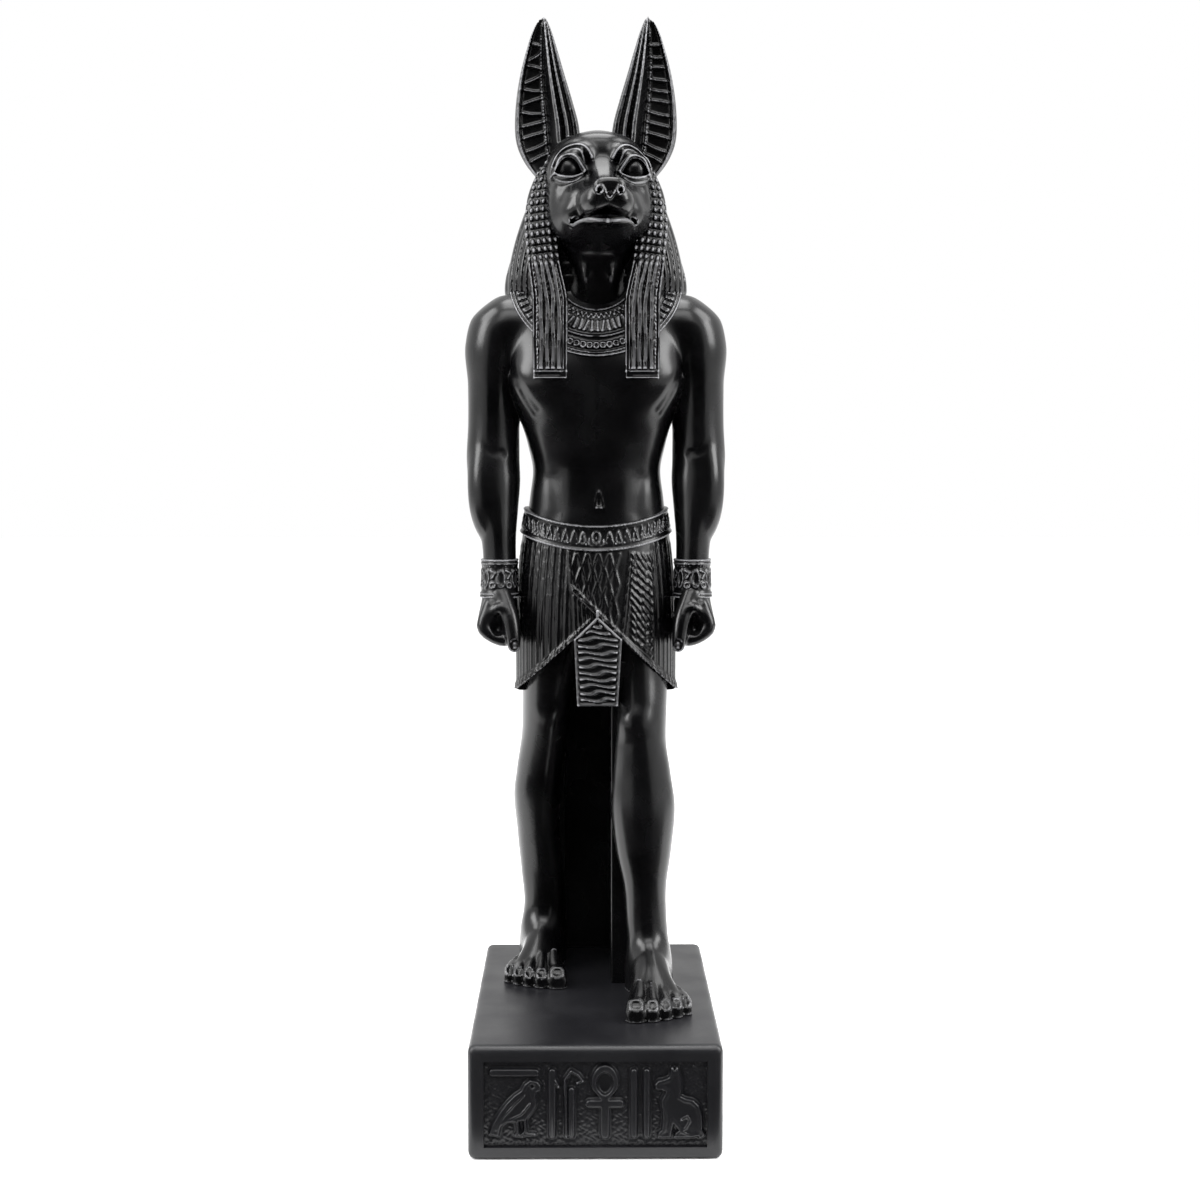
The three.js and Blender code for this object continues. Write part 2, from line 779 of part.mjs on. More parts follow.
// Back pillar, the web that joins the advanced leg to it and the brace behind the other leg.
// Web and brace end inside the kilt, and the bridge fills the gap between pillar, kilt and back.
function pillarAndWeb() {
  const pillarTop = 183;
  const insideKilt = 92;
  const webInner = 4.2;
  const webStart = 6;
  const braceInner = 9;
  const braceStart = 32;
  const bridgeFront = 31;
  const side = pillarWidth / 2 / grid;
  const face = pillarBack - pillarThickness / grid;
  const inPillar = face + pillarThickness / 2 / grid;
  return joined([
    block(-side, side, face, pillarBack, 0, pillarTop),
    block(-side * 0.8, side * 0.8, bridgeFront, inPillar, kiltStations[0].level, pillarTop),
    block(webInner, webInner + webThickness / grid, webStart, inPillar, 0, insideKilt),
    block(-side, -braceInner, braceStart, inPillar, 0, insideKilt),
  ]);
}

function figure() {
  const whole = joined([
    torso(),
    kiltForm(),
    ...kiltHems(),
    tab(),
    belt(),
    upright(rearLeg, 12),
    upright(frontLeg, 12),
    foot(LEFT, -15.6, 29.8, 0),
    foot(RIGHT, 14.9, 0.4, -30),
    pillarAndWeb(),
    ...[LEFT, RIGHT].flatMap(hand => [
      upright(mirrored(armStations, hand), 12),
      bracelet(hand),
      fist(hand),
      ear(hand),
      lappet(hand),
    ]),
    head(),
    wig(),
    collar(),
  ]);
  const room = new THREE.BoxGeometry(4 * figureHeight, 4 * figureHeight, 2 * figureHeight);
  const aboveSoles = moved(room, 0, 0, figureHeight);
  return whole.intersect(aboveSoles).translate([figureAside, figureShift, plinthHeight]);
}

// Plinth with a sunk panel of raised signs

const panelWidth = plinthWidth - 2 * panelBorderSide;
const panelHeight = plinthHeight - panelBorderTop - panelBorderBottom;
const panelMiddle = panelBorderBottom + panelHeight / 2;

function plinthBlock() {
  const insetWidth = plinthWidth - 2 * plinthEdge;
  const insetDepth = plinthDepth - 2 * plinthEdge;
  const corners = 3;
  const ring = (inset, z) => {
    const radius = plinthEdge;
    const points = [];
    for (const [quarter, sx, sy] of [[0, 1, 1], [1, -1, 1], [2, -1, -1], [3, 1, -1]]) {
      for (let i = 0; i <= corners; i += 1) {
        const angle = (quarter + i / corners) * (Math.PI / 2);
        const reach = radius - inset;
        points.push(new THREE.Vector3(
          (sx * insetWidth) / 2 + reach * Math.cos(angle),
          (sy * insetDepth) / 2 + reach * Math.sin(angle),
          z,
        ));
      }
    }
    return points;
  };
  const rings = [];
  const steps = 3;
  for (let i = 0; i <= steps; i += 1) {
    const turn = (i / steps) * (Math.PI / 2);
    const inset = plinthEdge * (1 - Math.sin(turn)) * 0.96;
    rings.push(ring(inset, plinthEdge * (1 - Math.cos(turn))));
  }
  for (let i = 0; i <= steps; i += 1) {
    const turn = (1 - i / steps) * (Math.PI / 2);
    const inset = plinthEdge * (1 - Math.sin(turn)) * 0.96;
    rings.push(ring(inset, plinthHeight - plinthEdge * (1 - Math.cos(turn))));
  }
  return loft(rings);
}

// Signs are drawn in shares of the panel: across from -0.5 to 0.5 and up from 0 to 1.
function sign(outline, holes = []) {
  const place = ([across, up]) => new THREE.Vector2(across * panelWidth, (up - 0.5) * panelHeight);
  const shape = new THREE.Shape(outline.map(place));
  for (const hole of holes) {
    shape.holes.push(new THREE.Path(hole.map(place)));
  }
  const sunk = 0.6;
  const geometry = new THREE.ExtrudeGeometry(shape, {
    depth: signRelief + sunk,
    bevelEnabled: false,
  });
  geometry.rotateX(Math.PI / 2);
  return moved(geometry, 0, -plinthDepth / 2 + panelDepth + sunk, panelMiddle);
}

function oval(x, up, rx, ry, count) {
  return Array.from({ length: count }, (_, i) => {
    const angle = (TURN * i) / count;
    return [x + rx * Math.cos(angle), up + ry * Math.sin(angle)];
  });
}

function bar(left, right, bottom, top) {
  return sign([[left, bottom], [right, bottom], [right, top], [left, top]]);
}

function staffs() {
  const bent = [[-0.128, 0.1], [-0.098, 0.1], [-0.095, 0.78], [-0.066, 0.86], [-0.072, 0.93],
    [-0.132, 0.9], [-0.136, 0.72]];
  return [
    bar(-0.21, -0.18, 0.1, 0.94),
    bar(0.155, 0.185, 0.1, 0.94),
    bar(0.21, 0.24, 0.1, 0.94),
    bar(-0.475, -0.25, 0.82, 0.92),
    sign(bent),
  ];
}

function ankh() {
  return [
    sign(oval(0.04, 0.76, 0.058, 0.19, 14), [oval(0.04, 0.77, 0.03, 0.11, 10)]),
    bar(-0.038, 0.118, 0.46, 0.58),
    sign([[0.026, 0.1], [0.054, 0.1], [0.056, 0.6], [0.024, 0.6]]),
  ];
}

function falcon() {
  return [sign([
    [-0.478, 0.1], [-0.43, 0.22], [-0.45, 0.12], [-0.36, 0.12], [-0.38, 0.2], [-0.34, 0.26], [-0.295, 0.5],
    [-0.285, 0.62], [-0.252, 0.62], [-0.262, 0.74], [-0.3, 0.8], [-0.345, 0.76], [-0.36, 0.6],
    [-0.43, 0.36],
  ])];
}

function seatedJackal() {
  return [sign([
    [0.275, 0.1], [0.47, 0.1], [0.475, 0.2], [0.44, 0.24], [0.455, 0.4], [0.43, 0.56], [0.375, 0.66],
    [0.37, 0.76], [0.385, 0.93], [0.35, 0.82], [0.335, 0.93], [0.32, 0.78], [0.28, 0.7], [0.32, 0.64],
    [0.33, 0.5], [0.315, 0.2],
  ])];
}

function plinth() {
  const recess = new THREE.BoxGeometry(panelWidth, 2 * panelDepth, panelHeight);
  const cutter = moved(recess, 0, -plinthDepth / 2, panelMiddle);
  const block = plinthBlock().subtract(cutter);
  return joined([block, ...staffs(), ...ankh(), ...falcon(), ...seatedJackal()]);
}

function blackResin() {
  return new THREE.MeshStandardMaterial({ color: 0x141416, roughness: 0.3, metalness: 0 });
}

function named(name, solid) {
  const mesh = new THREE.Mesh(geometryFrom(solid), blackResin());
  mesh.name = name;
  return mesh;
}

const group = new THREE.Group();
group.add(named('figure', figure()));
group.add(named('plinth', plinth()));

export default group;
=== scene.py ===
"""A standing jackal-headed figure on a low plinth, cast in glossy black resin.

Each piece is modelled as clay: a block of space that holds the distance to the piece's skin.
Forms are added and cut with soft joins, patterns raise or sink the skin, and the skin becomes a mesh.
Lengths of the figure are in grid squares. The figure is 271 squares high, and x, y and z count
from the line through its soles: x to the viewer's right, y to the back and z up.
"""
import functools
import math
import bmesh
import bpy
import numpy as np
import openvdb
from mathutils import Euler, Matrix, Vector


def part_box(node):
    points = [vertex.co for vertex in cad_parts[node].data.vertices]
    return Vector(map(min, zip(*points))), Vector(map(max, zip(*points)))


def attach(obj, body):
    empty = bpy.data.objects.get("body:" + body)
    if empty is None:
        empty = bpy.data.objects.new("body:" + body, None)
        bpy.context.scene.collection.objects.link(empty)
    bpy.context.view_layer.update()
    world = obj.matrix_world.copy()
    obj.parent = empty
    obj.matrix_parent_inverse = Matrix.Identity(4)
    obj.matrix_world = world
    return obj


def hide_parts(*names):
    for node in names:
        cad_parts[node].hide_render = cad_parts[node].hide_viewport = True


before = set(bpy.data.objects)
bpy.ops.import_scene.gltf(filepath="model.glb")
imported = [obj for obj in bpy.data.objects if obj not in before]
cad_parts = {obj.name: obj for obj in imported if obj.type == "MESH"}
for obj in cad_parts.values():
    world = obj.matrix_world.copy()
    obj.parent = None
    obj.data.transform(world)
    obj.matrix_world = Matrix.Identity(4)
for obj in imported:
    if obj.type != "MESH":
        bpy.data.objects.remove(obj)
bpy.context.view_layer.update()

# The grid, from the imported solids
GRID_HEIGHT = 271
PILLAR_BACK = 47
FIGURE_LOW, FIGURE_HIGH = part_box("figure")
PLINTH_LOW, PLINTH_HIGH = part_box("plinth")
SQUARE = (FIGURE_HIGH.z - FIGURE_LOW.z) / GRID_HEIGHT
ORIGIN = Vector((
    (FIGURE_LOW.x + FIGURE_HIGH.x) / 2,
    FIGURE_HIGH.y - PILLAR_BACK * SQUARE,
    FIGURE_LOW.z,
))
LEFT = -1
RIGHT = 1
SIDES = ((LEFT, "left"), (RIGHT, "right"))


# Curves and soft joins

def smooth_curve(places, values):
    """A smooth curve through values at rising places that never swings past them."""
    places = np.array(places, float)
    values = np.array(values, float)
    slopes = np.gradient(values, places)
    runs = np.diff(values) / np.diff(places)
    before, after = runs[:-1], runs[1:]
    steepest = 3 * np.minimum(np.abs(before), np.abs(after)) * (before * after > 0)
    slopes[1:-1] = np.clip(slopes[1:-1], -steepest, steepest)

    def read(at):
        at = np.clip(at, places[0], places[-1])
        i = np.clip(np.searchsorted(places, at) - 1, 0, len(places) - 2)
        span = places[i + 1] - places[i]
        t = (at - places[i]) / span
        low = values[i] * (1 + 2 * t) + slopes[i] * span * t
        high = values[i + 1] * (3 - 2 * t) - slopes[i + 1] * span * (1 - t)
        return low * (1 - t) ** 2 + high * t ** 2

    return read


def step(low, high, value):
    """Rises softly from 0 at low to 1 at high."""
    t = np.clip((value - low) / (high - low), 0, 1)
    return t * t * (3 - 2 * t)


def join(a, b, blend):
    """The nearer of two distances, with a fillet that reaches over blend."""
    if np.ndim(blend) == 0 and blend == 0:
        return np.minimum(a, b)
    near = np.maximum(blend - np.abs(a - b), 0) / blend
    return np.minimum(a, b) - near * near * blend / 4


def overlap(a, b, blend=0.0):
    return -join(-a, -b, blend)


def most(*values):
    """The greatest of several values. Of distances to skins, it is the distance to what they share."""
    return functools.reduce(np.maximum, values)


def bump(distance, width):
    """A soft ridge of height 1 that falls to nothing at a distance of about twice its width."""
    return np.exp(-(distance / width) ** 2)


def wave(phase):
    """0 in the middle of a groove and 1 on the crown between grooves, once for each unit of phase."""
    return np.sqrt(np.abs(np.sin(math.pi * phase)))


# Clay

# How far from its skin a clay still knows the distance
FAR = 3.0
# Too small to change a form, it keeps a division by 0 away
TINY = 1e-6
# For each kind of piece, the pitch of its grid and the share of its triangles that stays
FINENESS = {
    "face": (0.21, 0.55),
    "head_and_ears": (0.29, 0.5),
    "torso": (0.5, 0.45),
    "collar": (0.3, 0.65),
    "fist": (0.36, 1),
    "bracelet": (0.3, 0.6),
    "kilt": (0.36, 0.56),
    "belt": (0.3, 0.5),
    "tab": (0.26, 0.6),
    "wig": (0.34, 0.45),
    "lappet": (0.27, 0.65),
    "legs": (0.47, 0.65),
    "signs": (0.28, 0.5),
}


class Clay:
    """A block of space, sampled at a fixed pitch, that holds the distance to a piece's skin."""

    def __init__(self, kind, low, high):
        self.pitch, self.thin = FINENESS[kind]
        self.low = np.array(low, float)
        self.count = np.ceil((np.array(high) - self.low) / self.pitch).astype(int) + 1
        self.depth = np.full(self.count, FAR, np.float32)

    def window(self, low, high):
        first = np.clip(np.floor((np.array(low) - self.low) / self.pitch).astype(int), 0, self.count)
        last = np.clip(np.ceil((np.array(high) - self.low) / self.pitch).astype(int) + 1, 0, self.count)
        axes = [self.low[k] + self.pitch * np.arange(first[k], last[k]) for k in range(3)]
        part = tuple(slice(a, b) for a, b in zip(first, last))
        return part, np.meshgrid(*axes, indexing="ij", sparse=True)

    def add(self, shape, blend=0.0):
        part, places = self.window(shape.low - FAR, shape.high + FAR)
        self.depth[part] = join(self.depth[part], shape(*places), blend)

    def cut(self, shape, blend=0.0):
        part, places = self.window(shape.low - FAR, shape.high + FAR)
        self.depth[part] = overlap(self.depth[part], -shape(*places), blend)

    def keep(self, inside):
        """Keeps only what is inside, where a function of x, y and z is below 0."""
        part, places = self.window(self.low, self.low + self.pitch * self.count)
        self.depth[part] = overlap(self.depth[part], inside(*places))

    def raise_skin(self, low, high, pattern):
        """Moves the skin out by a pattern, in squares, between two corners."""
        part, places = self.window(low, high)
        self.depth[part] -= pattern(*places)

    def skin(self):
        """The skin's corners, in squares, and its four-sided faces."""
        depth = np.clip(self.depth, -FAR, FAR)
        for axis in range(3):
            for end in (0, -1):
                edge = [slice(None)] * 3
                edge[axis] = end
                depth[tuple(edge)] = np.maximum(depth[tuple(edge)], self.pitch / 2)
        grid = openvdb.FloatGrid(FAR)
        grid.copyFromArray(depth.astype(np.float32))
        points, faces = grid.convertToQuads(isovalue=0.0)
        return self.low + self.pitch * points, faces


class Shape:
    """A function of x, y and z that gives a distance, with the box that holds its inside."""

    def __init__(self, depth, low, high):
        self.depth = depth
        self.low = np.array(low, float)
        self.high = np.array(high, float)

    def __call__(self, x, y, z):
        return self.depth(x, y, z)


def ellipsoid(centre, radii):
    cx, cy, cz = centre
    rx, ry, rz = radii

    def depth(x, y, z):
        u = (x - cx) / rx
        v = (y - cy) / ry
        w = (z - cz) / rz
        size = np.sqrt(u * u + v * v + w * w)
        slope = np.sqrt((u / rx) ** 2 + (v / ry) ** 2 + (w / rz) ** 2) + TINY
        return size * (size - 1) / slope

    return Shape(depth, np.subtract(centre, radii), np.add(centre, radii))


def upright(stations, square=2.0):
    """A rounded column through stations: level, x, y, half width, depth to the front and to the back.

    A station with one depth has it both ways. Square is 2 for a round column and more for a squarer one.
    """
    table = np.array([[*at, at[-1]] if len(at) == 5 else at for at in sorted(stations)], float)
    levels = table[:, 0]
    middle_x, middle_y, sides, fronts, backs = (smooth_curve(levels, table[:, k]) for k in range(1, 6))

    def depth(x, y, z):
        side = sides(z)
        across = np.abs(x - middle_x(z)) / side
        away = y - middle_y(z)
        reach = np.where(away < 0, fronts(z), backs(z))
        along = np.abs(away) / reach
        size = (across ** square + along ** square) ** (1 / square) + TINY
        slope = np.sqrt((across / side) ** 2 + (along / reach) ** 2) + TINY
        ends = np.maximum(levels[0] - z, z - levels[-1])
        return overlap(size * (size - 1) / slope, ends, 1.0)

    low = ((table[:, 1] - table[:, 3]).min(), (table[:, 2] - table[:, 4]).min(), levels[0])
    high = ((table[:, 1] + table[:, 3]).max(), (table[:, 2] + table[:, 5]).max(), levels[-1])
    return Shape(depth, low, high)


def lying(stations, square=2.0):
    """The same lying along y: the level is a place along y, and the other middle is a height."""
    column = upright(stations, square)
    low = (column.low[0], column.low[2], column.low[1])
    high = (column.high[0], column.high[2], column.high[1])
    return Shape(lambda x, y, z: column(x, z, y), low, high)


def tube(points, radii):
    """A round bar through points, with a radius at each."""
    points = np.array(points, float)
    radii = np.broadcast_to(np.array(radii, float), (len(points),))

    def depth(x, y, z):
        nearest = None
        for a, b, ra, rb in zip(points[:-1], points[1:], radii[:-1], radii[1:]):
            run = b - a
            t = ((x - a[0]) * run[0] + (y - a[1]) * run[1] + (z - a[2]) * run[2]) / run.dot(run)
            t = np.clip(t, 0, 1)
            gap = np.sqrt((x - a[0] - t * run[0]) ** 2 + (y - a[1] - t * run[1]) ** 2
                          + (z - a[2] - t * run[2]) ** 2) - (ra + (rb - ra) * t)
            nearest = gap if nearest is None else np.minimum(nearest, gap)
        return nearest

    thick = radii.max()
    return Shape(depth, points.min(0) - thick, points.max(0) + thick)


def line_gap(points, u, w):
    """The distance in a plane from (u, w) to a line through points."""
    nearest = None
    for (ua, wa), (ub, wb) in zip(points[:-1], points[1:]):
        ru, rw = ub - ua, wb - wa
        t = np.clip(((u - ua) * ru + (w - wa) * rw) / (ru * ru + rw * rw), 0, 1)
        gap = np.sqrt((u - ua - t * ru) ** 2 + (w - wa - t * rw) ** 2)
        nearest = gap if nearest is None else np.minimum(nearest, gap)
    return nearest


def rounded(points, steps=5):
    """Points of a smooth line through a few points."""
    points = np.array(points, float)
    places = np.arange(len(points))
    at = np.linspace(0, len(points) - 1, (len(points) - 1) * steps + 1)
    return np.stack([smooth_curve(places, points[:, k])(at) for k in range(points.shape[1])], 1)


# Pieces

MM = 0.001


def mark_ridges(mesh):
    """Writes at each corner how sharply the skin bulges there, one over the radius in millimetres."""
    count = len(mesh.vertices)
    places = np.empty(3 * count, np.float32)
    normals = np.empty(3 * count, np.float32)
    ends = np.empty(2 * len(mesh.edges), np.int32)
    mesh.vertices.foreach_get("co", places)
    mesh.vertices.foreach_get("normal", normals)
    mesh.edges.foreach_get("vertices", ends)
    places = places.reshape(-1, 3) / MM
    normals = normals.reshape(-1, 3)
    one, two = ends.reshape(-1, 2).T
    run = places[two] - places[one]
    length = (run ** 2).sum(1)

    def gather(at_one, at_two):
        return np.bincount(one, at_one, count) + np.bincount(two, at_two, count)

    fall = gather(-(run * normals[one]).sum(1), (run * normals[two]).sum(1))
    bulge = 2 * fall / np.maximum(gather(length, length), TINY)
    near = gather(np.ones(len(one)), np.ones(len(one))) + 1
    bulge = (bulge + gather(bulge[two], bulge[one])) / near
    # The materials paint a light grey highlight where this value is high
    made = mesh.attributes.new("ridge", "FLOAT", "POINT")
    made.data.foreach_set("value", bulge.astype(np.float32))


def link(name, data):
    """Puts an object with this data in the scene."""
    made = bpy.data.objects.new(name, data)
    bpy.context.scene.collection.objects.link(made)
    return made


def place_piece(name, mesh, material, node):
    mesh.materials.append(material)
    piece = link(name, mesh)
    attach(piece, "root")
    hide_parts(node)
    return piece


def new_piece(name, corners, faces, material, node, thin):
    """Thin is the share of the triangles that stays, where fine relief stands on plain ground."""
    mesh = bpy.data.meshes.new(name)
    mesh.vertices.add(len(corners))
    mesh.vertices.foreach_set("co", np.asarray(corners, np.float32).ravel())
    mesh.loops.add(faces.size)
    mesh.loops.foreach_set("vertex_index", np.asarray(faces, np.int32).ravel())
    mesh.polygons.add(len(faces))
    mesh.polygons.foreach_set("loop_start", np.arange(0, faces.size, faces.shape[1], dtype=np.int32))
    mesh.update(calc_edges=True)
    mesh.validate()
    mesh.shade_smooth()
    mark_ridges(mesh)
    piece = place_piece(name, mesh, material, node)
    if thin < 1:
        piece.modifiers.new("thin_out", "DECIMATE").ratio = thin


def to_frame(corners):
    """From squares to metres in the frame."""
    return np.array(ORIGIN) + SQUARE * corners


def clay_piece(name, clay, material):
    corners, faces = clay.skin()
    new_piece(name, to_frame(corners), faces, material, "figure", clay.thin)


def formed_piece(name, kind, depth, low, high, material):
    """A piece whose whole form is one function, between two corners."""
    clay = Clay(kind, low, high)
    clay.add(Shape(depth, low, high))
    clay_piece(name, clay, material)


def side_ends(hand, near, far):
    """The lowest and highest x of a form that begins and ends so far out on one side."""
    return sorted((near * hand, far * hand))


def mirrored(places, hand, at=0):
    """Points or stations of one side, put on the side of hand. At is the place of x in each."""
    return [(*place[:at], place[at] * hand, *place[at + 1:]) for place in places]


# Head and ears

HEAD_TURN = 5.5
HEAD_AXIS = (0.2, 15)
EYE = (9.1, 226.5)
EYE_BALL = 3.3
EYE_DEPTH = 1.5
NOSTRIL = (2.75, 218.3)
NOSTRIL_RIM = 0.95

NECK = [
    (182, 0.2, 17.4, 11.6, 7.4, 8),
    (190, 0.3, 16.4, 10, 8.4, 9),
    (196, 0.5, 15.6, 9.4, 9, 10),
    (204, 0.9, 14, 9.2, 9.6, 10),
    (213, 1.2, 12, 10.2, 11, 12),
]

SKULL = [
    (196, 0, 15, 5, 6, 9),
    (203, 0, 13, 8, 8.4, 12),
    (209, 0, 11, 11.4, 10.2, 14),
    (213, 0, 11, 12.6, 11.4, 15),
    (221, 0, 11, 14.4, 12.5, 17),
    (228, 0, 11.6, 14.3, 13, 17),
    (233, 0, 12, 12.2, 12.9, 15.4),
    (236.6, 0, 13, 8.2, 11.2, 11),
    (238.2, 0, 14, 3.8, 6.6, 6.4),
]

MUZZLE = [
    (8, 0, 220, 12.4, 8, 8),
    (-1, 0, 218.6, 9.8, 6.4, 6),
    (-5, 0, 217.6, 8, 6, 5),
    (-10, 0, 217.4, 6.2, 5, 4.6),
    (-14, 0, 217.6, 5, 4, 4.2),
    (-18, 0, 218, 4, 3, 3.4),
    (-19.2, 0, 218.4, 2.4, 2, 2.4),
]

BRIDGE = [
    (7, 0, 228, 5, 4, 6),
    (-1, 0, 226, 3.6, 4, 3.8),
    (-5, 0, 223, 3.1, 4, 3.2),
    (-9, 0, 220.4, 2.8, 3, 2.9),
    (-14, 0, 219.6, 2.8, 3, 2.6),
    (-18, 0, 219.4, 2.9, 2, 2.3),
]

JAW = [
    (10, 0, 210, 10, 8, 3),
    (0, 0, 210.6, 9.2, 4.6, 1.6),
    (-6, 0, 211, 8, 2.6, 0.8),
    (-10, 0, 211.3, 6.5, 1.5, 0.6),
    (-13, 0, 211.1, 4.6, 1, 0.6),
    (-14.8, 0, 211, 2.5, 0.7, 0.5),
]

# The height of the line between the lips, outward from the middle
MOUTH_LINE = smooth_curve([0, 2.4, 4.8, 7.4, 9], [214.8, 213.8, 213, 212.5, 212.5])


def eye_folds():
    """Ridges over and under the eye, as lines outward and up from its middle, with their heights."""
    outer_brow = [(4.9, -2.8), (4.6, 0), (3.4, 3), (1.2, 5.6), (-1.7, 6.6), (-4.4, 5.7), (-6.2, 3)]
    second = [(4.3, -2), (3.2, 1.6), (1, 4.6), (-1.5, 5.3), (-3.4, 4.2), (-4.5, 1.6)]
    upper_lid = [(3.8, -1.5), (2.9, 1.6), (1.6, 3.2), (0, 3.7), (-1.7, 3.1), (-3.2, 1.2), (-4.4, -0.6)]
    lower_lid = [(3.7, -1.4), (2.4, -2.1), (0.2, -2.5), (-2, -2.2), (-4.2, -1.1)]
    pouch = [(3.8, -2.4), (2.4, -3.4), (0.2, -3.8), (-2, -3.3), (-3.9, -1.9)]
    return [
        (rounded(outer_brow), 0.75, 0.5),
        (rounded(second), 0.3, 0.36),
        (rounded(upper_lid), 0.6, 0.5),
        (rounded(lower_lid), 0.36, 0.34),
        (rounded(pouch), 0.3, 0.4),
    ]


def eye_opening(u, w):
    """Above 0 inside the almond between the lids, in squares."""
    upper = 2.9 - 4.2 * np.abs(u / 3.8) ** 2.2
    lower = -2.1 + np.abs(u / 3.8) ** 2
    return np.minimum(upper - w, w - lower)


def face_relief(x, y, z):
    u = np.abs(x) - EYE[0]
    w = z - EYE[1]
    front = 1 - step(3, 6, y)
    raised = 0
    for line, height, width in eye_folds():
        raised = raised + height * bump(line_gap(line, u, w), width)
    hollow = 1.1 * bump(line_gap([(-4.6, 3.6), (-5.2, 2)], u, w), 0.8)
    valley = rounded([(3.9, 0.6), (2.2, 4.2), (-0.4, 5.8), (-3, 5.6)])
    between_folds = 0.4 * bump(line_gap(valley, u, w), 0.35)
    # A crease along the side of the muzzle and the soft hollow of the cheek
    crease = 0.5 * bump(line_gap([(-5.6, -2), (-5, -5.6)], u, w), 1.1)
    cheek = 0.5 * bump(line_gap([(1, -6), (1.6, -8.6)], u, w), 1.8)
    return front * (raised - hollow - between_folds - crease - cheek)


def on_head(pattern):
    """A function of x, y and z, drawn on the head before it turns to the viewer's right."""
    c = math.cos(math.radians(HEAD_TURN))
    s = math.sin(math.radians(HEAD_TURN))
    ax, ay = HEAD_AXIS

    def after(x, y, z):
        return pattern(ax + (x - ax) * c + (y - ay) * s, ay + (y - ay) * c - (x - ax) * s, z)

    return after


def turn(shape):
    """A shape that turns with the head."""
    spare = 4
    return Shape(on_head(shape), shape.low - spare, shape.high + spare)


def head_shapes(clay):
    """Adds the skull, muzzle, lips and jaw."""
    clay.add(turn(upright(SKULL, 2.15)))
    clay.add(turn(lying(MUZZLE, 2.5)), 3)
    clay.add(turn(lying(BRIDGE, 3)), 1.4)
    for hand in (LEFT, RIGHT):
        clay.add(turn(ellipsoid((5 * hand, 0, 230.6), (3, 2.6, 2.3))), 1.8)
        clay.add(turn(ellipsoid((9.2 * hand, 4.5, 216), (5, 6.6, 8))), 3)
        clay.add(turn(ellipsoid((7.2 * hand, -1.6, 215.6), (4.2, 5.6, 5.8))), 2.4)
        clay.add(turn(ellipsoid((3.5 * hand, -11.8, 216.2), (3.8, 7.2, 4))), 1.6)

    def under_lips(x, y, z):
        below = (z - MOUTH_LINE(np.abs(x))) * 0.9
        return most(below, y + 3.4, np.abs(x) - 9)

    clay.cut(turn(Shape(under_lips, (-12, -24, 204), (12, -3, 216))), 0.5)
    clay.add(turn(ellipsoid((0, -6.4, 212.3), (5.8, 7, 2.3))))
    clay.add(turn(lying(JAW)), 0.8)
    for hand in (LEFT, RIGHT):
        lower_lip = rounded(mirrored([
            (0, -15.2, 211.1), (2.6, -14.6, 211.3), (5, -12.4, 211.7),
            (6.8, -8.8, 211.5), (8, -5.4, 210.9), (8.8, -3, 211.6),
        ], hand))
        clay.add(turn(tube(lower_lip, 0.45)), 0.6)


def eyes(clay):
    middles = [(EYE[0] * hand, EYE_DEPTH, EYE[1]) for hand in (LEFT, RIGHT)]
    for middle in middles:
        clay.add(turn(ellipsoid(middle, (EYE_BALL + 0.8, EYE_BALL + 0.7, EYE_BALL + 0.8))), 2.2)
    clay.raise_skin((-24, -24, 205), (24, 14, 240), on_head(face_relief))
    for middle in middles:
        ball = ellipsoid(middle, (EYE_BALL, EYE_BALL, EYE_BALL))

        def opening(x, y, z, ball=ball):
            inside = eye_opening(np.abs(x) - EYE[0], z - EYE[1])
            return most(-inside, -ball(x, y, z), y - 4)

        clay.cut(turn(Shape(opening, ball.low - 1, ball.high + 1)), 0.1)


def nose_lines(x, y, z):
    """The thin rims of the nostrils and the two lines that run from them down to the lip."""
    side = np.abs(x)
    edge = line_gap(rounded([(2.1, 219.4), (1.4, 218.2), (0.8, 217.1), (0, 216.2)]), side, z)
    rim = np.abs(np.sqrt((side - NOSTRIL[0]) ** 2 + (z - NOSTRIL[1]) ** 2) - NOSTRIL_RIM)
    return 0.29 * np.maximum(bump(edge, 0.22), bump(rim, 0.22)) * (1 - step(-18.5, -17, y))


def nose_and_mouth(clay):
    pad = lying([
        (-15, 0, 219.4, 3.4, 1.6, 1.9),
        (-18, 0, 219.3, 4.1, 1.7, 2.4),
        (-20.4, 0, 219.2, 4.1, 1.7, 2.4),
        (-21.5, 0, 219.1, 3.6, 1.5, 2),
    ], 2.4)
    clay.add(turn(pad), 0.2)
    clay.add(turn(ellipsoid((0, -17.6, 217.8), (1.7, 3, 2.1))), 0.3)
    clay.raise_skin((-8, -24, 214), (13, -14, 222), on_head(nose_lines))
    for hand in (LEFT, RIGHT):
        clay.cut(turn(tube([(2.7 * hand, -22.5, 218.2), (2.9 * hand, -15.5, 218.7)], 0.55)), 0.15)
        groove = mirrored([(2.2, -20, 216.9), (1.3, -19.6, 216.3), (0.3, -19, 215.4)], hand)
        clay.cut(turn(tube(groove, 0.3)), 0.4)
        corner = rounded(mirrored([
            (5.6, -12, 212.9), (7, -8.6, 212.6), (8, -5.4, 212.5), (8.8, -2.8, 212.4),
        ], hand))
        clay.cut(turn(tube(corner, np.linspace(0.25, 0.6, len(corner)))), 0.3)
    clay.cut(turn(tube([(0, -19.6, 216), (0, -19, 214.6)], 0.24)), 0.4)


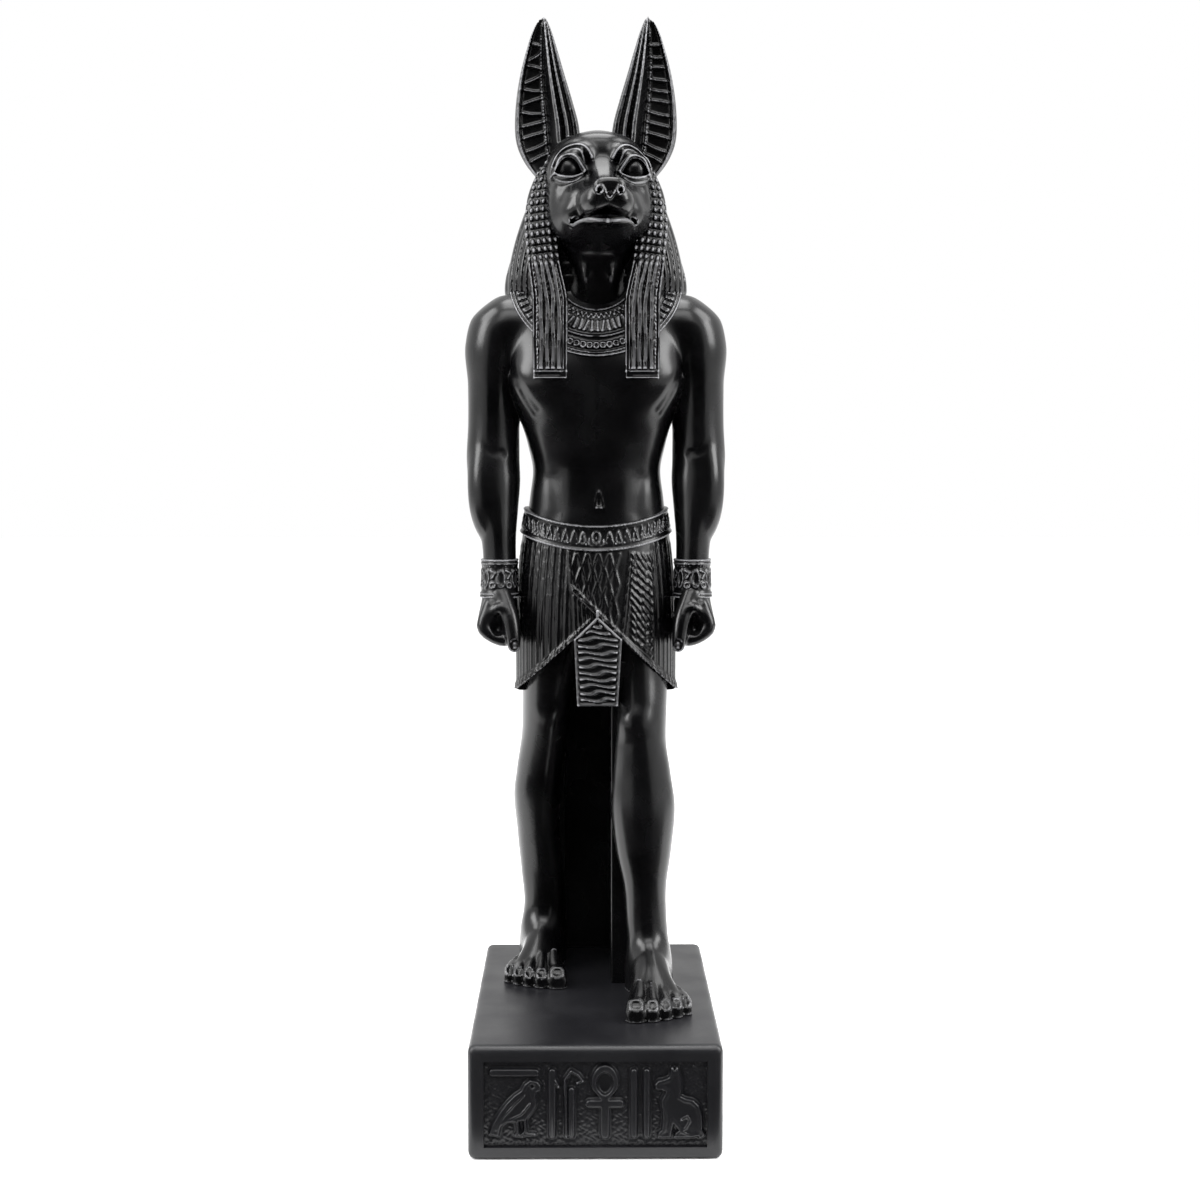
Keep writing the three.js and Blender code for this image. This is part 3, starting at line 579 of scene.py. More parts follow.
EAR_LEVELS = [224, 226.5, 230, 234, 241, 248, 256, 262.5, 267, 269.6, 270.7, 271.2]
EAR_OUTER = smooth_curve(
    EAR_LEVELS,
    [14.6, 16.6, 19.4, 21.5, 22.6, 22.2, 20.9, 19.2, 17.7, 16.4, 15.5, 14.8],
)
EAR_INNER = smooth_curve(
    EAR_LEVELS,
    [8.4, 6.4, 5, 4.3, 4.7, 6.5, 8.9, 10.8, 12.2, 13.2, 13.8, 14.5],
)
# How far the ear's face stands forward, from its outer edge at 0 to its inner edge at 1
EAR_FACE = smooth_curve(
    [0, 0.035, 0.07, 0.1, 0.3, 0.5, 0.55, 0.6, 0.66, 0.69, 0.72, 0.75, 0.79, 0.84, 0.87, 0.92, 0.97, 1],
    [0.2, 1.6, 1.3, -1.5, -1.9, -1.6, 0.5, 1.9, 3, 2.9, 1.2, 0.2, 1.7, 1.2, 0.2, 0.9, 0.7, -0.6],
)


def ear_middle(z):
    return 16 + 0.075 * (z - 223)


def ear(hand):
    def depth(x, y, z):
        outer = EAR_OUTER(z)
        inner = EAR_INNER(z)
        width = np.maximum(outer - inner, 0.5)
        side = x * hand
        share = np.clip((outer - side) / width, 0, 1)
        opened = np.clip(width / 12, 0.12, 1)
        front = ear_middle(z) - EAR_FACE(share) * opened
        back = ear_middle(z) + (1.3 + 2.9 * np.sqrt(np.clip(4 * share * (1 - share), 0, 1))) * opened
        faces = np.maximum(front - y, y - back) * 0.85
        edges = np.maximum(side - outer, inner - side) * 0.9
        ends = np.maximum(EAR_LEVELS[0] - z, z - EAR_LEVELS[-1])
        return overlap(overlap(faces, edges, 0.6), ends, 0.3)

    left, right = side_ends(hand, 4, 23)
    return Shape(depth, (left, 10, EAR_LEVELS[0]), (right, 24, EAR_LEVELS[-1]))


def ear_struts(hand):
    """Thin bars across the sunk half: level, slope and bend of each, from the base upward."""
    struts = []
    count = 12
    for i in range(count):
        rise = i / (count - 1)
        z = 229 + 34.5 * rise
        slope = 3.4 * (1 - rise) ** 1.4
        if hand == LEFT and 5 <= i <= 11:
            slope = 2.3 if i % 2 == 0 else -0.7
        struts.append((z, slope, 0.35 * math.sin(2.3 * i)))
    return struts


def ear_bars(hand):
    def pattern(x, y, z):
        outer = EAR_OUTER(z)
        width = np.maximum(outer - EAR_INNER(z), 0.5)
        share = (outer - x * hand) / width
        within = step(0.08, 0.13, share) * (1 - step(0.46, 0.5, share))
        front = step(-4, -3, ear_middle(z) - y) * (1 - step(1, 3, y - ear_middle(z)))
        height = 0
        for level, slope, bend in ear_struts(hand):
            middle = level + slope * (share - 0.29) / 0.4 + bend * np.sin(math.pi * share / 0.5)
            height = np.maximum(height, bump(z - middle, 0.32))
        beads = 0.5 * bump(share - 0.47, 0.02) * wave(z / 0.9)
        return within * front * (0.6 * height + beads)

    return pattern


def ears(clay):
    for hand in (LEFT, RIGHT):
        leaf = ear(hand)
        clay.add(leaf, 1.6)
        clay.raise_skin(leaf.low - 1, leaf.high + 1, ear_bars(hand))
        fold = rounded(mirrored([(10.6, 8.6, 233.4), (8.6, 9.6, 235.4), (7.6, 11, 237)], hand))
        clay.add(tube(fold, 0.4), 0.8)


def throat_swells(x, y, z):
    return 1.6 * bump(np.abs(x - 0.6) - 3.6, 2.2) * bump(z - 197.8, 3.4)


def beyond_face(x, y, z):
    """How far a place is outside the face, which is its own finer clay. The two clays overlap a little."""
    return np.maximum(y - 4, 205.6 - z)


def make_head(material):
    overlap_width = 1.5
    seam_depth = 0.3
    pieces = (
        ("face", (-16.5, -23, 203.8), (17.5, 5.8, 239.5)),
        ("head_and_ears", (-24, -9, 182), (24, 31, 272)),
    )

    def sunk_face(x, y, z):
        return -seam_depth * step(0.9, 1.5, beyond_face(x, y, z))

    def sunk_head(x, y, z):
        return seam_depth * (step(0.1, 0.7, beyond_face(x, y, z)) - 1)

    for name, low, high in pieces:
        clay = Clay(name, low, high)
        head_shapes(clay)
        eyes(clay)
        nose_and_mouth(clay)
        ears(clay)
        clay.add(upright(NECK), 3)
        clay.raise_skin((-9, 0, 188), (11, 14, 208), throat_swells)
        if name == "face":
            clay.raise_skin(low, high, sunk_face)
            clay.keep(lambda x, y, z: beyond_face(x, y, z) - overlap_width)
        else:
            clay.raise_skin(low, high, sunk_head)
            clay.cut(Shape(beyond_face, low, high))
        clay_piece(name, clay, material)


# Torso and arms

TORSO = [
    (120, 0, 20, 20.4, 15.2, 13.4),
    (130, 0.1, 20, 19.8, 14.8, 12.2),
    (138, 0.2, 20, 18.9, 14.4, 11.2),
    (145, 0.2, 20, 18.1, 14, 11),
    (152, 0.2, 20, 19.4, 14.9, 12.2),
    (165, 0, 20, 23.2, 16.8, 14.6),
    (179, 0, 20, 26.2, 16.6, 15.2),
    (185, 0, 20, 26.6, 15, 14.4),
    (190, 0, 20, 25.6, 12.8, 13),
    (194, 0, 20, 22, 10.4, 11.6),
    (198, 0, 19, 13, 8.6, 9.5),
]

ARM = [
    (104, 27.3, 12.4, 5.4, 6.4),
    (117, 27.2, 13.8, 4.6, 5.6),
    (127, 27.6, 15.2, 5, 6.2),
    (135, 28.4, 17, 6.4, 7.4),
    (142, 28.8, 18.4, 7.3, 8.2),
    (149, 29.2, 19.4, 7.5, 8.4),
    (158, 29, 20.2, 7.3, 8.8),
    (169, 28.8, 21, 7.5, 10.2),
    (181, 27.8, 21, 9.1, 11.4),
    (187, 26.7, 21, 8.8, 10.6),
    (192, 25.2, 21, 5.6, 7.4),
    (194.2, 24.6, 21, 3, 4),
]


def body_shape():
    """Torso and arms, joined softly at the shoulder and hardly at all below the armpit."""
    trunk = upright(TORSO, 2.3)
    chests = [ellipsoid((10.4 * hand, 11.4, 170.6), (12.4, 8.9, 9.4)) for hand in (LEFT, RIGHT)]
    arms = [upright(mirrored(ARM, hand, 1)) for hand in (LEFT, RIGHT)]

    def depth(x, y, z):
        whole = trunk(x, y, z)
        for chest in chests:
            whole = join(whole, chest(x, y, z), 6)
        soft = 0.6 + 5 * step(173, 188, z)
        for arm in arms:
            whole = join(whole, arm(x, y, z), soft)
        return whole

    return Shape(depth, (-38, 0, 104), (38, 36, 199))


def torso_relief(x, y, z):
    """The line down the middle, the crease under each breast and the fold above the belt, all soft."""
    side = np.abs(x - 0.2)
    front = 1 - step(12, 18, y)
    middle = 0.35 * bump(side, 1.3) * step(140, 146, z) * (1 - step(166, 176, z))
    crease = line_gap([(27, 179), (23.6, 172.6), (21.3, 169), (19, 164.6), (17, 161.6)], side, z)
    hip = 0.4 * bump(line_gap([(14, 128), (11, 134), (12, 143)], side, z), 2)
    return front * (-0.45 * bump(crease, 1.1) - middle - hip)


def make_torso(material):
    clay = Clay("torso", (-38.5, -0.5, 103), (38.5, 37, 200))
    clay.add(body_shape())
    clay.raise_skin((-24, -2, 122), (24, 20, 180), torso_relief)
    clay.add(tube([(0.7, 5.9, 139.4), (0.75, 5.9, 135.6)], [0.6, 1.4]), 0.4)
    clay.cut(tube([(0.7, 4.9, 139.6), (0.75, 5, 135.9)], [0.35, 0.9]), 0.15)
    clay.add(ellipsoid((0.75, 6.4, 135.4), (0.5, 1, 0.6)), 0.2)
    for hand in (LEFT, RIGHT):
        clay.add(ellipsoid((31.6 * hand, 14.6, 139), (4.2, 4.6, 12)), 2.5)
        crease = rounded(mirrored([(31.4, 10.4, 153), (29, 10.2, 150.6), (26, 11.4, 150)], hand))
        clay.cut(tube(crease, 0.4), 1.8)
    clay_piece("torso_and_arms", clay, material)


# Collar

COLLAR_CENTRE = 199.4
COLLAR_WIDE = 24.6
COLLAR_HIGH = 22.8


def make_collar(material):
    base = body_shape()
    scale = 23.5
    thick = 1.6

    def depth(x, y, z):
        skin = base(x, y, z)
        size = np.sqrt((x / COLLAR_WIDE) ** 2 + ((COLLAR_CENTRE - z) / COLLAR_HIGH) ** 2)
        round_neck = np.arctan2(x / COLLAR_WIDE, (COLLAR_CENTRE - z) / COLLAR_HIGH)
        rise = 0.15
        for edge in (0.437, 0.76, 0.955, 0.99):
            rise = rise + 0.65 * bump((size - edge) * scale, 0.3)
        teeth = np.abs((round_neck / 0.113 + 0.5) % 1 - 0.5) * 2
        tooth = bump((size - 0.484 - 0.056 * teeth) * scale, 0.34) * band(size, 0.476, 0.546)
        phase = round_neck / 0.1 + 0.25
        phase = phase + 4 * (size - 0.63) * (np.floor(phase) % 3 == 1)
        bars = bump((phase % 1 - 0.5) * 1.48, 0.4) * band(size, 0.572, 0.695)
        loop_at = ((round_neck / 0.086 + 0.5) % 1 - 0.5) * 1.8
        loops = bump(np.sqrt(loop_at ** 2 + ((size - 0.868) * scale) ** 2) - 0.7, 0.27)
        squares = step(0.2, 0.5, np.abs((round_neck / 0.09) % 1 - 0.5) * 2)
        loops = np.where(np.abs(x) > 15, squares, loops) * band(size, 0.83, 0.922)
        rise = rise + 0.65 * (tooth + bars + loops)
        edges = np.maximum(0.42 - size, size - 1) * scale
        return most(skin - rise, -(skin + thick), edges, y - 22)

    formed_piece("collar", "collar", depth, (-27, -1, 174), (27, 30, 201), material)


def band(value, low, high, edge=0.012):
    return step(low - edge, low, value) * (1 - step(high, high + edge, value))


# Fists and bracelets

def fist(clay, hand):
    for i, lift in enumerate((0.5, 0, 0.3, 1.2)):
        near = 6.2 + 3.5 * i
        path = rounded(mirrored([
            (29.6, near + 1.2, 107 + lift), (31.4, near + 0.3, 101.6 + lift),
            (29.2, near, 98.9 + lift), (25.8, near, 97.6 + lift),
            (24.4, near, 99.4 + lift), (25.2, near + 0.2, 101.4 + lift),
        ], hand), 3)
        clay.add(tube(path, np.linspace(2.1, 1.6, len(path))), 0.5)
    clay.add(upright(mirrored([
        (98.8, 28, 13, 3.6, 6.6), (104, 28.3, 12.8, 4.7, 6.6),
        (109, 27.6, 12.8, 4.7, 6.2), (113, 27.4, 13.2, 4.4, 5.6),
    ], hand, 1)), 1.4)
    thumb = rounded(mirrored([
        (26.4, 9, 110), (24.2, 5.8, 104.6), (23.2, 4.4, 99.6), (22.9, 4, 96.6),
    ], hand))
    clay.add(tube(thumb, np.linspace(2.9, 1.75, len(thumb))), 1)
    arch = rounded(mirrored([
        (24.9, 6, 105.4), (27, 5.2, 107.2), (29.6, 6.2, 105), (31.3, 6.6, 101.6),
    ], hand))
    clay.add(tube(arch, 1.3), 1)
    clay.cut(ellipsoid((27.5 * hand, 4, 101.6), (1.5, 3.4, 2.1)), 0.8)
    clay.cut(tube(mirrored([(22.7, 2.3, 97.5), (22.7, 2.5, 96.4)], hand), 0.95), 0.2)
    clay.add(tube(mirrored([(22.7, 3, 97.4), (22.7, 3, 96.5)], hand), 0.72), 0.1)


def make_fists(material):
    for hand, side in SIDES:
        left, right = side_ends(hand, 20, 35.5)
        clay = Clay("fist", (left, -0.5, 93), (right, 23, 113.5))
        fist(clay, hand)
        clay_piece("fist_" + side, clay, material)


BRACELET_MIDDLE = 115
BRACELET_HALF = 5.4
WRIST = (27.2, 13.6)
WRIST_RADIUS = 5.4


def make_bracelets(material):
    thick = 1.4
    for hand, side in SIDES:
        arm = upright(mirrored(ARM, hand, 1))
        middle = WRIST[0] * hand

        def depth(x, y, z):
            skin = arm(x, y, z)
            level = z - BRACELET_MIDDLE
            along = np.arctan2(x - middle, WRIST[1] - y) * WRIST_RADIUS
            rise = 0.35
            for edge in (-5.1, -4.2, 4.2, 5.1):
                rise = rise + 0.45 * bump(level - edge, 0.3)
            oval_at = (along + 1.6) % 4.2 - 2.1
            oval = bump(np.sqrt((oval_at / 0.9) ** 2 + (level / 2.2) ** 2) - 1, 0.3)
            curl_at = (along + 3.7) % 4.2 - 2.1
            curl = bump(np.sqrt(curl_at ** 2 + (level + 1.7) ** 2) - 0.7, 0.3)
            stroke = bump(line_gap([(-0.8, 2.4), (0.8, 1.6), (-0.3, 0.2)], curl_at, level), 0.32)
            inside = band(level, -3.5, 3.5, 0.3)
            beads = bump(np.sqrt((((along + 0.4) % 0.9) - 0.45) ** 2 + (level - 3.5) ** 2), 0.3)
            rise = rise + inside * 0.4 * most(oval, curl, stroke) + 0.3 * beads
            return most(skin - rise, -(skin + thick), np.abs(level) - BRACELET_HALF)

        low, high = (middle - 8, 5, 108), (middle + 8, 22, 122)
        formed_piece("bracelet_" + side, "bracelet", depth, low, high, material)


# Kilt, belt and tab

KILT = [
    (82.5, 0, 20.5, 22.8, 19.5, 15.6),
    (103, 0, 20.3, 22.7, 19, 15.8),
    (127, 0, 20, 20.9, 16, 13.2),
    (135, 0, 20, 19.6, 14.9, 12.2),
]
HEM_APEX = (0.2, 104.8)
HEM_SIDE = (23.6, 82.4)
HEM_SLOPE = (HEM_APEX[1] - HEM_SIDE[1]) / (HEM_SIDE[0] - HEM_APEX[0])
FOLD_TOP = (-6.6, 112)
FOLD_LINE = [(-7.5, 122.8), (-7.2, 114), FOLD_TOP]
RIGHT_EDGE = [(9.6, 122.5), (8.9, 115.5), (8, 106), (7.2, 99.8)]
KILT_MIDDLE = 20
KILT_HALF = (22, 18)
PLEATS = 60


def hem_level(x):
    return HEM_APEX[1] - HEM_SLOPE * np.abs(x - HEM_APEX[0])


def kilt_turn(x, y):
    return np.arctan2(x / KILT_HALF[0], (KILT_MIDDLE - y) / KILT_HALF[1])


def pleats(x, y, z):
    """A broad ridge and a thin one, over and over, all round but for the overlapping front."""
    phase = kilt_turn(x, y) * PLEATS / (2 * math.pi)
    part = phase % 1
    ridges = 0.4 * bump(part - 0.36, 0.22) + 0.24 * bump(part - 0.84, 0.11)
    left = step(7.4, 7.8, -x)
    back = step(22, 24, y)
    right = step(14.5, 15.5, x)
    return (ridges - 0.2) * most(left, back, right) * (1 - step(124, 126, z))


def draw(clay, line, width, height, nearest=-2, farthest=16):
    """Raises a line, drawn on the front in x and z, on the skin."""
    points = np.array(line, float)
    reach = 3 * width
    low = (points[:, 0].min() - reach, nearest, points[:, 1].min() - reach)
    high = (points[:, 0].max() + reach, farthest, points[:, 1].max() + reach)
    clay.raise_skin(low, high, lambda x, y, z: height * bump(line_gap(line, x, z), width))


def front_strokes():
    """The woven strokes of the kilt's overlap: long diamonds, then short slanted beads to the right."""
    strokes = []
    columns = 9
    for i in range(columns):
        x = -6.4 + 1.5 * i
        swing = 0.7 if i % 2 else -0.7
        top = 122.4
        floor = max(hem_level(x) + 1.2, FOLD_TOP[1] - (x - FOLD_TOP[0]) + 0.8) if x < 7.5 else 101
        count = max(2, int((top - floor) / 3.6))
        line = []
        for k in range(count + 1):
            lean = -0.12 * (k - count / 2)
            line.append((x + lean + (swing if k % 2 else -swing) * 0.8, top - (top - floor) * k / count))
        strokes.append(line)
    for i in range(4):
        x = 10.4 + 1.55 * i
        z = 121.6 - 0.25 * i
        floor = hem_level(x) + 2.5
        while z > floor:
            strokes.append([(x - 0.55, z + 0.8), (x + 0.5, z - 0.8)])
            z -= 2.1 + 0.3 * (i % 2)
    return strokes


def make_kilt(material):
    clay = Clay("kilt", (-24, -0.5, 80.5), (24, 37.5, 130))
    clay.add(upright(KILT, 2.1))
    clay.raise_skin((-24, -1, 81), (24, 37.5, 127), pleats)
    under_fold = []
    for i in range(5):
        x = -6.2 + 1.15 * i
        top = FOLD_TOP[1] - (x - FOLD_TOP[0]) - 0.8
        bottom = hem_level(x) + 1.2
        if top > bottom + 1:
            under_fold.append([(x, top), (x + 0.5, bottom)])
    for line in front_strokes() + under_fold:
        draw(clay, line, 0.32, 0.38)
    draw(clay, FOLD_LINE, 0.3, 0.4)
    draw(clay, RIGHT_EDGE, 0.28, 0.45)
    draw(clay, [(x + 0.9, z) for x, z in RIGHT_EDGE], 0.26, 0.35)
    for side in (LEFT, RIGHT):
        start = (HEM_APEX[0] - 1.8, HEM_APEX[1] - 2) if side < 0 else FOLD_TOP
        end = (HEM_SIDE[0] * side, HEM_SIDE[1])
        for offset, height in ((1.35, 0.5), (0.35, 0.75)):
            draw(clay, [(start[0], start[1] + offset), (end[0], end[1] + offset)], 0.34, height, -2, 26)

    def opening(x, y, z):
        return np.maximum((z - hem_level(x)) * 0.72, y - 17)

    clay.cut(Shape(opening, (-26, -2, 78), (26, 17, 105)), 0.3)
    clay_piece("kilt", clay, material)


def belt_level(round_waist):
    return 131.3 - 4.7 * np.maximum(0, np.cos(round_waist)) ** 1.6


def make_belt(material):
    base = upright(KILT, 2.1)
    half = 3.6
    thick = 1.6
    waist_radius = 19

    def depth(x, y, z):
        skin = base(x, y, z)
        round_waist = kilt_turn(x, y)
        level = z - belt_level(round_waist)
        along = round_waist * waist_radius
        rise = 0.4
        for edge, height in ((3.15, 0.6), (-3.15, 0.6), (2.3, 0.25), (-2.3, 0.25)):
            rise = rise + height * bump(level - edge, 0.38)
        place = along % 2.3 - 1.15
        sides = np.abs(place) - 0.95 * (1.7 - level) / 3.6
        triangle = bump(sides, 0.26) * band(level, -1.8, 1.8, 0.2)
        base_line = bump(level + 1.7, 0.26) * (np.abs(place) < 0.95)
        filled = 0.8 * step(0.1, 0.4, -sides) * band(level, -1.6, 1.4, 0.2) * (along % 4.6 > 2.3)
        middle = np.sqrt((along / 0.95) ** 2 + (level / 1.7) ** 2)
        oval = bump(middle - 1, 0.26) + 0.7 * bump(middle, 0.3)
        clear_of_oval = step(1.6, 1.8, np.abs(along))
        pattern = most(triangle, base_line, filled) * clear_of_oval
        rise = rise + 0.42 * np.maximum(pattern, oval)
        return most(skin - rise, -(skin + thick), np.abs(level) - half)

    formed_piece("belt", "belt", depth, (-23.5, 1, 120), (23.5, 36, 138), material)


# Level, left and right
TAB = [(80.2, -5.3, 6), (98.8, -6.2, 7.1), (104.8, -0.1, 0.7)]


def make_tab(material):
    levels, lefts, rights = zip(*TAB)
    shoulder = levels[1]

    def depth(x, y, z):
        left = np.interp(z, levels, lefts)
        right = np.interp(z, levels, rights)
        sides = np.maximum(left - x, x - right) * np.where(z > shoulder, 0.7, 1)
        inside = np.maximum(sides, levels[0] - z)
        frame_ridge = 0.5 * bump(inside + 0.45, 0.4)
        share = (x - left) / np.maximum(right - left, 0.1)
        bend = 0.5 * np.sin(2 * math.pi * share * 1.2 + 0.9 * z) * np.sin(math.pi * np.clip(share, 0, 1))
        ribs = bump((z + bend - 81) % 1.87 - 0.93, 0.4) * step(0.8, 1.2, -inside)
        ends = bump(share - 0.13, 0.06) + bump(share - 0.87, 0.06)
        front = 0.5 - frame_ridge - 0.6 * ribs * (0.85 + 0.35 * ends)
        return most(inside, front - y, y - 7)

    formed_piece("kilt_tab", "tab", depth, (-8, -2, 78), (9, 8.5, 107), material)


# Wig and lappets

WIG = [
    (177, 0, 30, 19, 8, 8),
    (186, 0, 29, 21, 12, 9.4),
    (196, 0, 25, 25.7, 16, 13.4),
    (207, 0, 23.9, 23.4, 16, 14.2),
    (222, 0, 22.6, 18.2, 15, 13.6),
    (231, 0, 22, 14.4, 12.6, 12),
    (237.5, 0, 20.6, 8.4, 8, 7.4),
]


def make_wig(material):
    clay = Clay("wig", (-27.5, 7, 176), (27.5, 40.5, 239.5))
    clay.add(upright(WIG, 2.2))
    side_at = smooth_curve([at[0] for at in WIG], [at[3] for at in WIG])

    def strands(x, y, z):
        side = np.where(y < 24, np.abs(x), side_at(z))
        out = np.maximum((side - 13) / 12.7, 0)
        up = np.maximum((z - 196) / 30, 0)
        ring = np.sqrt(out ** 2 + up ** 2)
        behind = np.arctan2(np.maximum(y - 24, 0), np.abs(x) + 0.01)
        return 0.6 * (wave(8.5 * ring + 11 * behind) - 0.6)

    clay.raise_skin((-28, 6, 176), (28, 41, 240), strands)
    clay_piece("wig", clay, material)


LAPPET = [
    (170.4, 12.6, 4.8, 1.6, 12),
    (190, 12.6, 4.9, 2.4, 14),
    (203, 14.4, 4.4, 3.5, 16),
    (214, 15.4, 4.2, 5.6, 18),
    (222, 15, 3.4, 8.6, 19),
    (229, 13.4, 2.2, 12, 20),
]


def lappet(hand):
    levels = [at[0] for at in LAPPET]
    bottom, top = levels[0], levels[-1]
    middle, half, front, back = (smooth_curve(levels, [at[k] for at in LAPPET]) for k in range(1, 5))

    def depth(x, y, z):
        side = x * hand - middle(z)
        share = side / half(z)
        crown = 1.1 * np.minimum(np.abs(share), 1.2) ** 4
        wander = 0.03 * np.sin(0.4 * z + 9 * np.floor((share + 1) * 3))
        bars = np.abs(((share + 1 + wander) * 3) % 1 - 0.5) * 2
        bar = np.sqrt(np.clip(1.02 - bars ** 2, 0, 1))
        outermost = step(0.62, 0.7, share)
        notch = 0.5 * outermost * bump((z + 0.8 * np.sin(7 * share)) % 2.3 - 1.15, 0.3)
        plain = 1 - step(201, 204, z)
        inset = np.minimum(half(z) - np.abs(side), z - bottom)
        border = 0.9 * bump(inset - 0.35, 0.3) + 0.5 * bump(z - bottom - 2.1, 0.3)
        inner = step(0.9, 1.3, inset) * step(2.4, 2.9, z - bottom)
        rows = bump(((z + 0.6 * share) % 2.2) - 1.1, 0.62) * bump(((share * half(z)) % 1.6) - 0.8, 0.46)
        relief = plain * (inner * (1.15 * bar - notch) + border) + (1 - plain) * 1.1 * rows
        faces = np.maximum(front(z) + crown - relief - y, y - np.minimum(back(z), front(z) + 6)) * 0.85
        sides = (np.abs(side) - half(z)) * 0.95
        return overlap(overlap(faces, sides, 0.5), np.maximum(bottom - z, z - top), 0.3)

    left, right = side_ends(hand, 6, 21)
    return Shape(depth, (left, 0, bottom), (right, 21, top))


def make_lappets(material):
    for hand, side in SIDES:
        shape = lappet(hand)
        formed_piece("lappet_" + side, "lappet", shape, shape.low - 1, shape.high + 1, material)


# Legs and feet. The viewer's right leg steps forward.

REAR_LEG = [
    (-2, -15.6, 30.2, 5.6, 5.6),
    (10, -15.5, 30.6, 6.5, 6.6),
    (18, -15.3, 31, 6, 6.4),
    (27, -15.9, 31.2, 6.2, 6.8),
    (38, -16.9, 30.6, 6.2, 8.2),
    (50, -17.2, 29, 6.9, 9.2),
    (58, -16.4, 27.2, 6.8, 8.6),
    (68, -14.9, 25, 6.8, 9.4),
    (77, -14.1, 23.4, 7.2, 10.9),
    (100, -11, 20, 9.8, 13),
]

FRONT_LEG = [
    (-2, 14.6, 2.6, 5.6, 5.6),
    (10, 14.6, 3.2, 5.9, 6.2),
    (19, 14.1, 4, 5.8, 6),
    (28, 13.7, 5.4, 6.1, 6.8),
    (38, 13.3, 7, 7.9, 8.4),
    (51, 13.1, 8.4, 9.2, 9.4),
    (60, 12.7, 9, 8.4, 8.9),
    (70, 12.2, 10.4, 7.6, 9.6),
    (79, 12.3, 13.2, 7.8, 11),
    (88, 11.9, 16, 8.4, 11.6),
    (100, 11.2, 18.4, 8.6, 12.4),
]

FOOT = [
    (-22.4, 1.4, 2, 7.2, 3, 1.4),
    (-19, 1.2, 2.2, 7.6, 4, 2.8),
    (-15, 0.9, 2.4, 6.7, 4, 5.2),
    (-10, 0.4, 2.6, 5.8, 4, 8.2),
    (-3, 0, 3, 5.7, 4, 10.4),
    (3, 0, 3, 5.5, 4, 9),
    (8, 0, 3, 5, 4, 6),
    (10, 0, 2.6, 2.6, 3, 3.4),
]

# Place across the foot, half width, how far back from the longest, height
TOES = [
    (-4.6, 2.75, 0, 5.9),
    (-0.2, 2.05, 0.7, 5.2),
    (3.3, 1.85, 2.2, 4.9),
    (6.4, 1.7, 4.1, 4.6),
    (9, 1.6, 6.4, 4.2),
]


def toes(hand, middle, lead):
    """Each toe's shape, and its nail's middle, the toe's end, the nail's half width and its level."""
    for place, half, back, high in TOES:
        x = middle + place * hand
        behind = middle + 0.74 * place * hand
        end = lead + back
        up = high - 2.3
        shape = lying([
            (end, x, 2.3, half * 0.8, 1.8, up * 0.34),
            (end + 1, x, 2.3, half * 0.97, 2.6, up * 0.56),
            (end + 3, x, 2.3, half, 3, up),
            (end + 5, x, 2.4, half * 0.88, 3, up * 1.02),
            (end + 9, (x + behind) / 2, 2.6, half * 0.8, 3, up * 1.12),
            (end + 14 - back / 2, behind, 3, half * 0.6, 3, up * 1.5),
        ], 2.3)
        yield shape, (x, end, half * 0.64, 2.3 + up * 0.62)


def foot(clay, hand, middle, heel, lead):
    body = [(at[0] + heel, middle + at[1] * hand, *at[2:]) for at in FOOT]
    clay.add(lying(body, 2.1), 4.5)
    nails = []
    for shape, nail in toes(hand, middle, lead):
        clay.add(shape, 0.45)
        nails.append(nail)
    for x_nail, end, half, level in nails:
        def nail_rim(x, y, z, x_nail=x_nail, end=end, half=half, level=level):
            place = np.sqrt(((x - x_nail) / half) ** 2 + ((z - level) / 1.15) ** 2)
            rim = 0.42 * bump(place - 1, 0.26) - 0.2 * (1 - step(0.5, 0.85, place))
            return rim * (1 - step(end + 3.4, end + 4.4, y))

        clay.raise_skin((x_nail - 2.6, end - 1.5, 2), (x_nail + 2.6, end + 5, 7.6), nail_rim)
    clay.raise_skin((middle - 14, lead - 2, -1), (middle + 14, heel + 12, 1.2), sole_rim)


def sole_rim(x, y, z):
    return 0.5 * (1 - step(0.3, 0.8, z))


def knee(clay, x, y, z):
    clay.add(ellipsoid((x, y + 3.4, z), (3.9, 4.2, 4.6)), 3)


def make_legs(material):
    clay = Clay("legs", (-29, -31.5, -1), (28, 43, 101))
    clay.add(upright(REAR_LEG))
    clay.add(upright(FRONT_LEG))
    knee(clay, -12.8, 14.4, 78.3)
    knee(clay, 10.8, 2.2, 74.7)
    foot(clay, LEFT, -15.6, 29.8, 0)
    foot(clay, RIGHT, 14.9, 0.4, -30)
    clay.keep(lambda x, y, z: -z)
    clay_piece("legs_and_feet", clay, material)


# Plinth. Its lengths are in metres, in the frame.

PLINTH_EDGE = 0.002
PANEL_SIDE = 0.0041
PANEL_TOP = 0.0039
PANEL_BOTTOM = 0.0034
PANEL_DEPTH = 0.0011
BEHIND_SIGNS = 0.0006


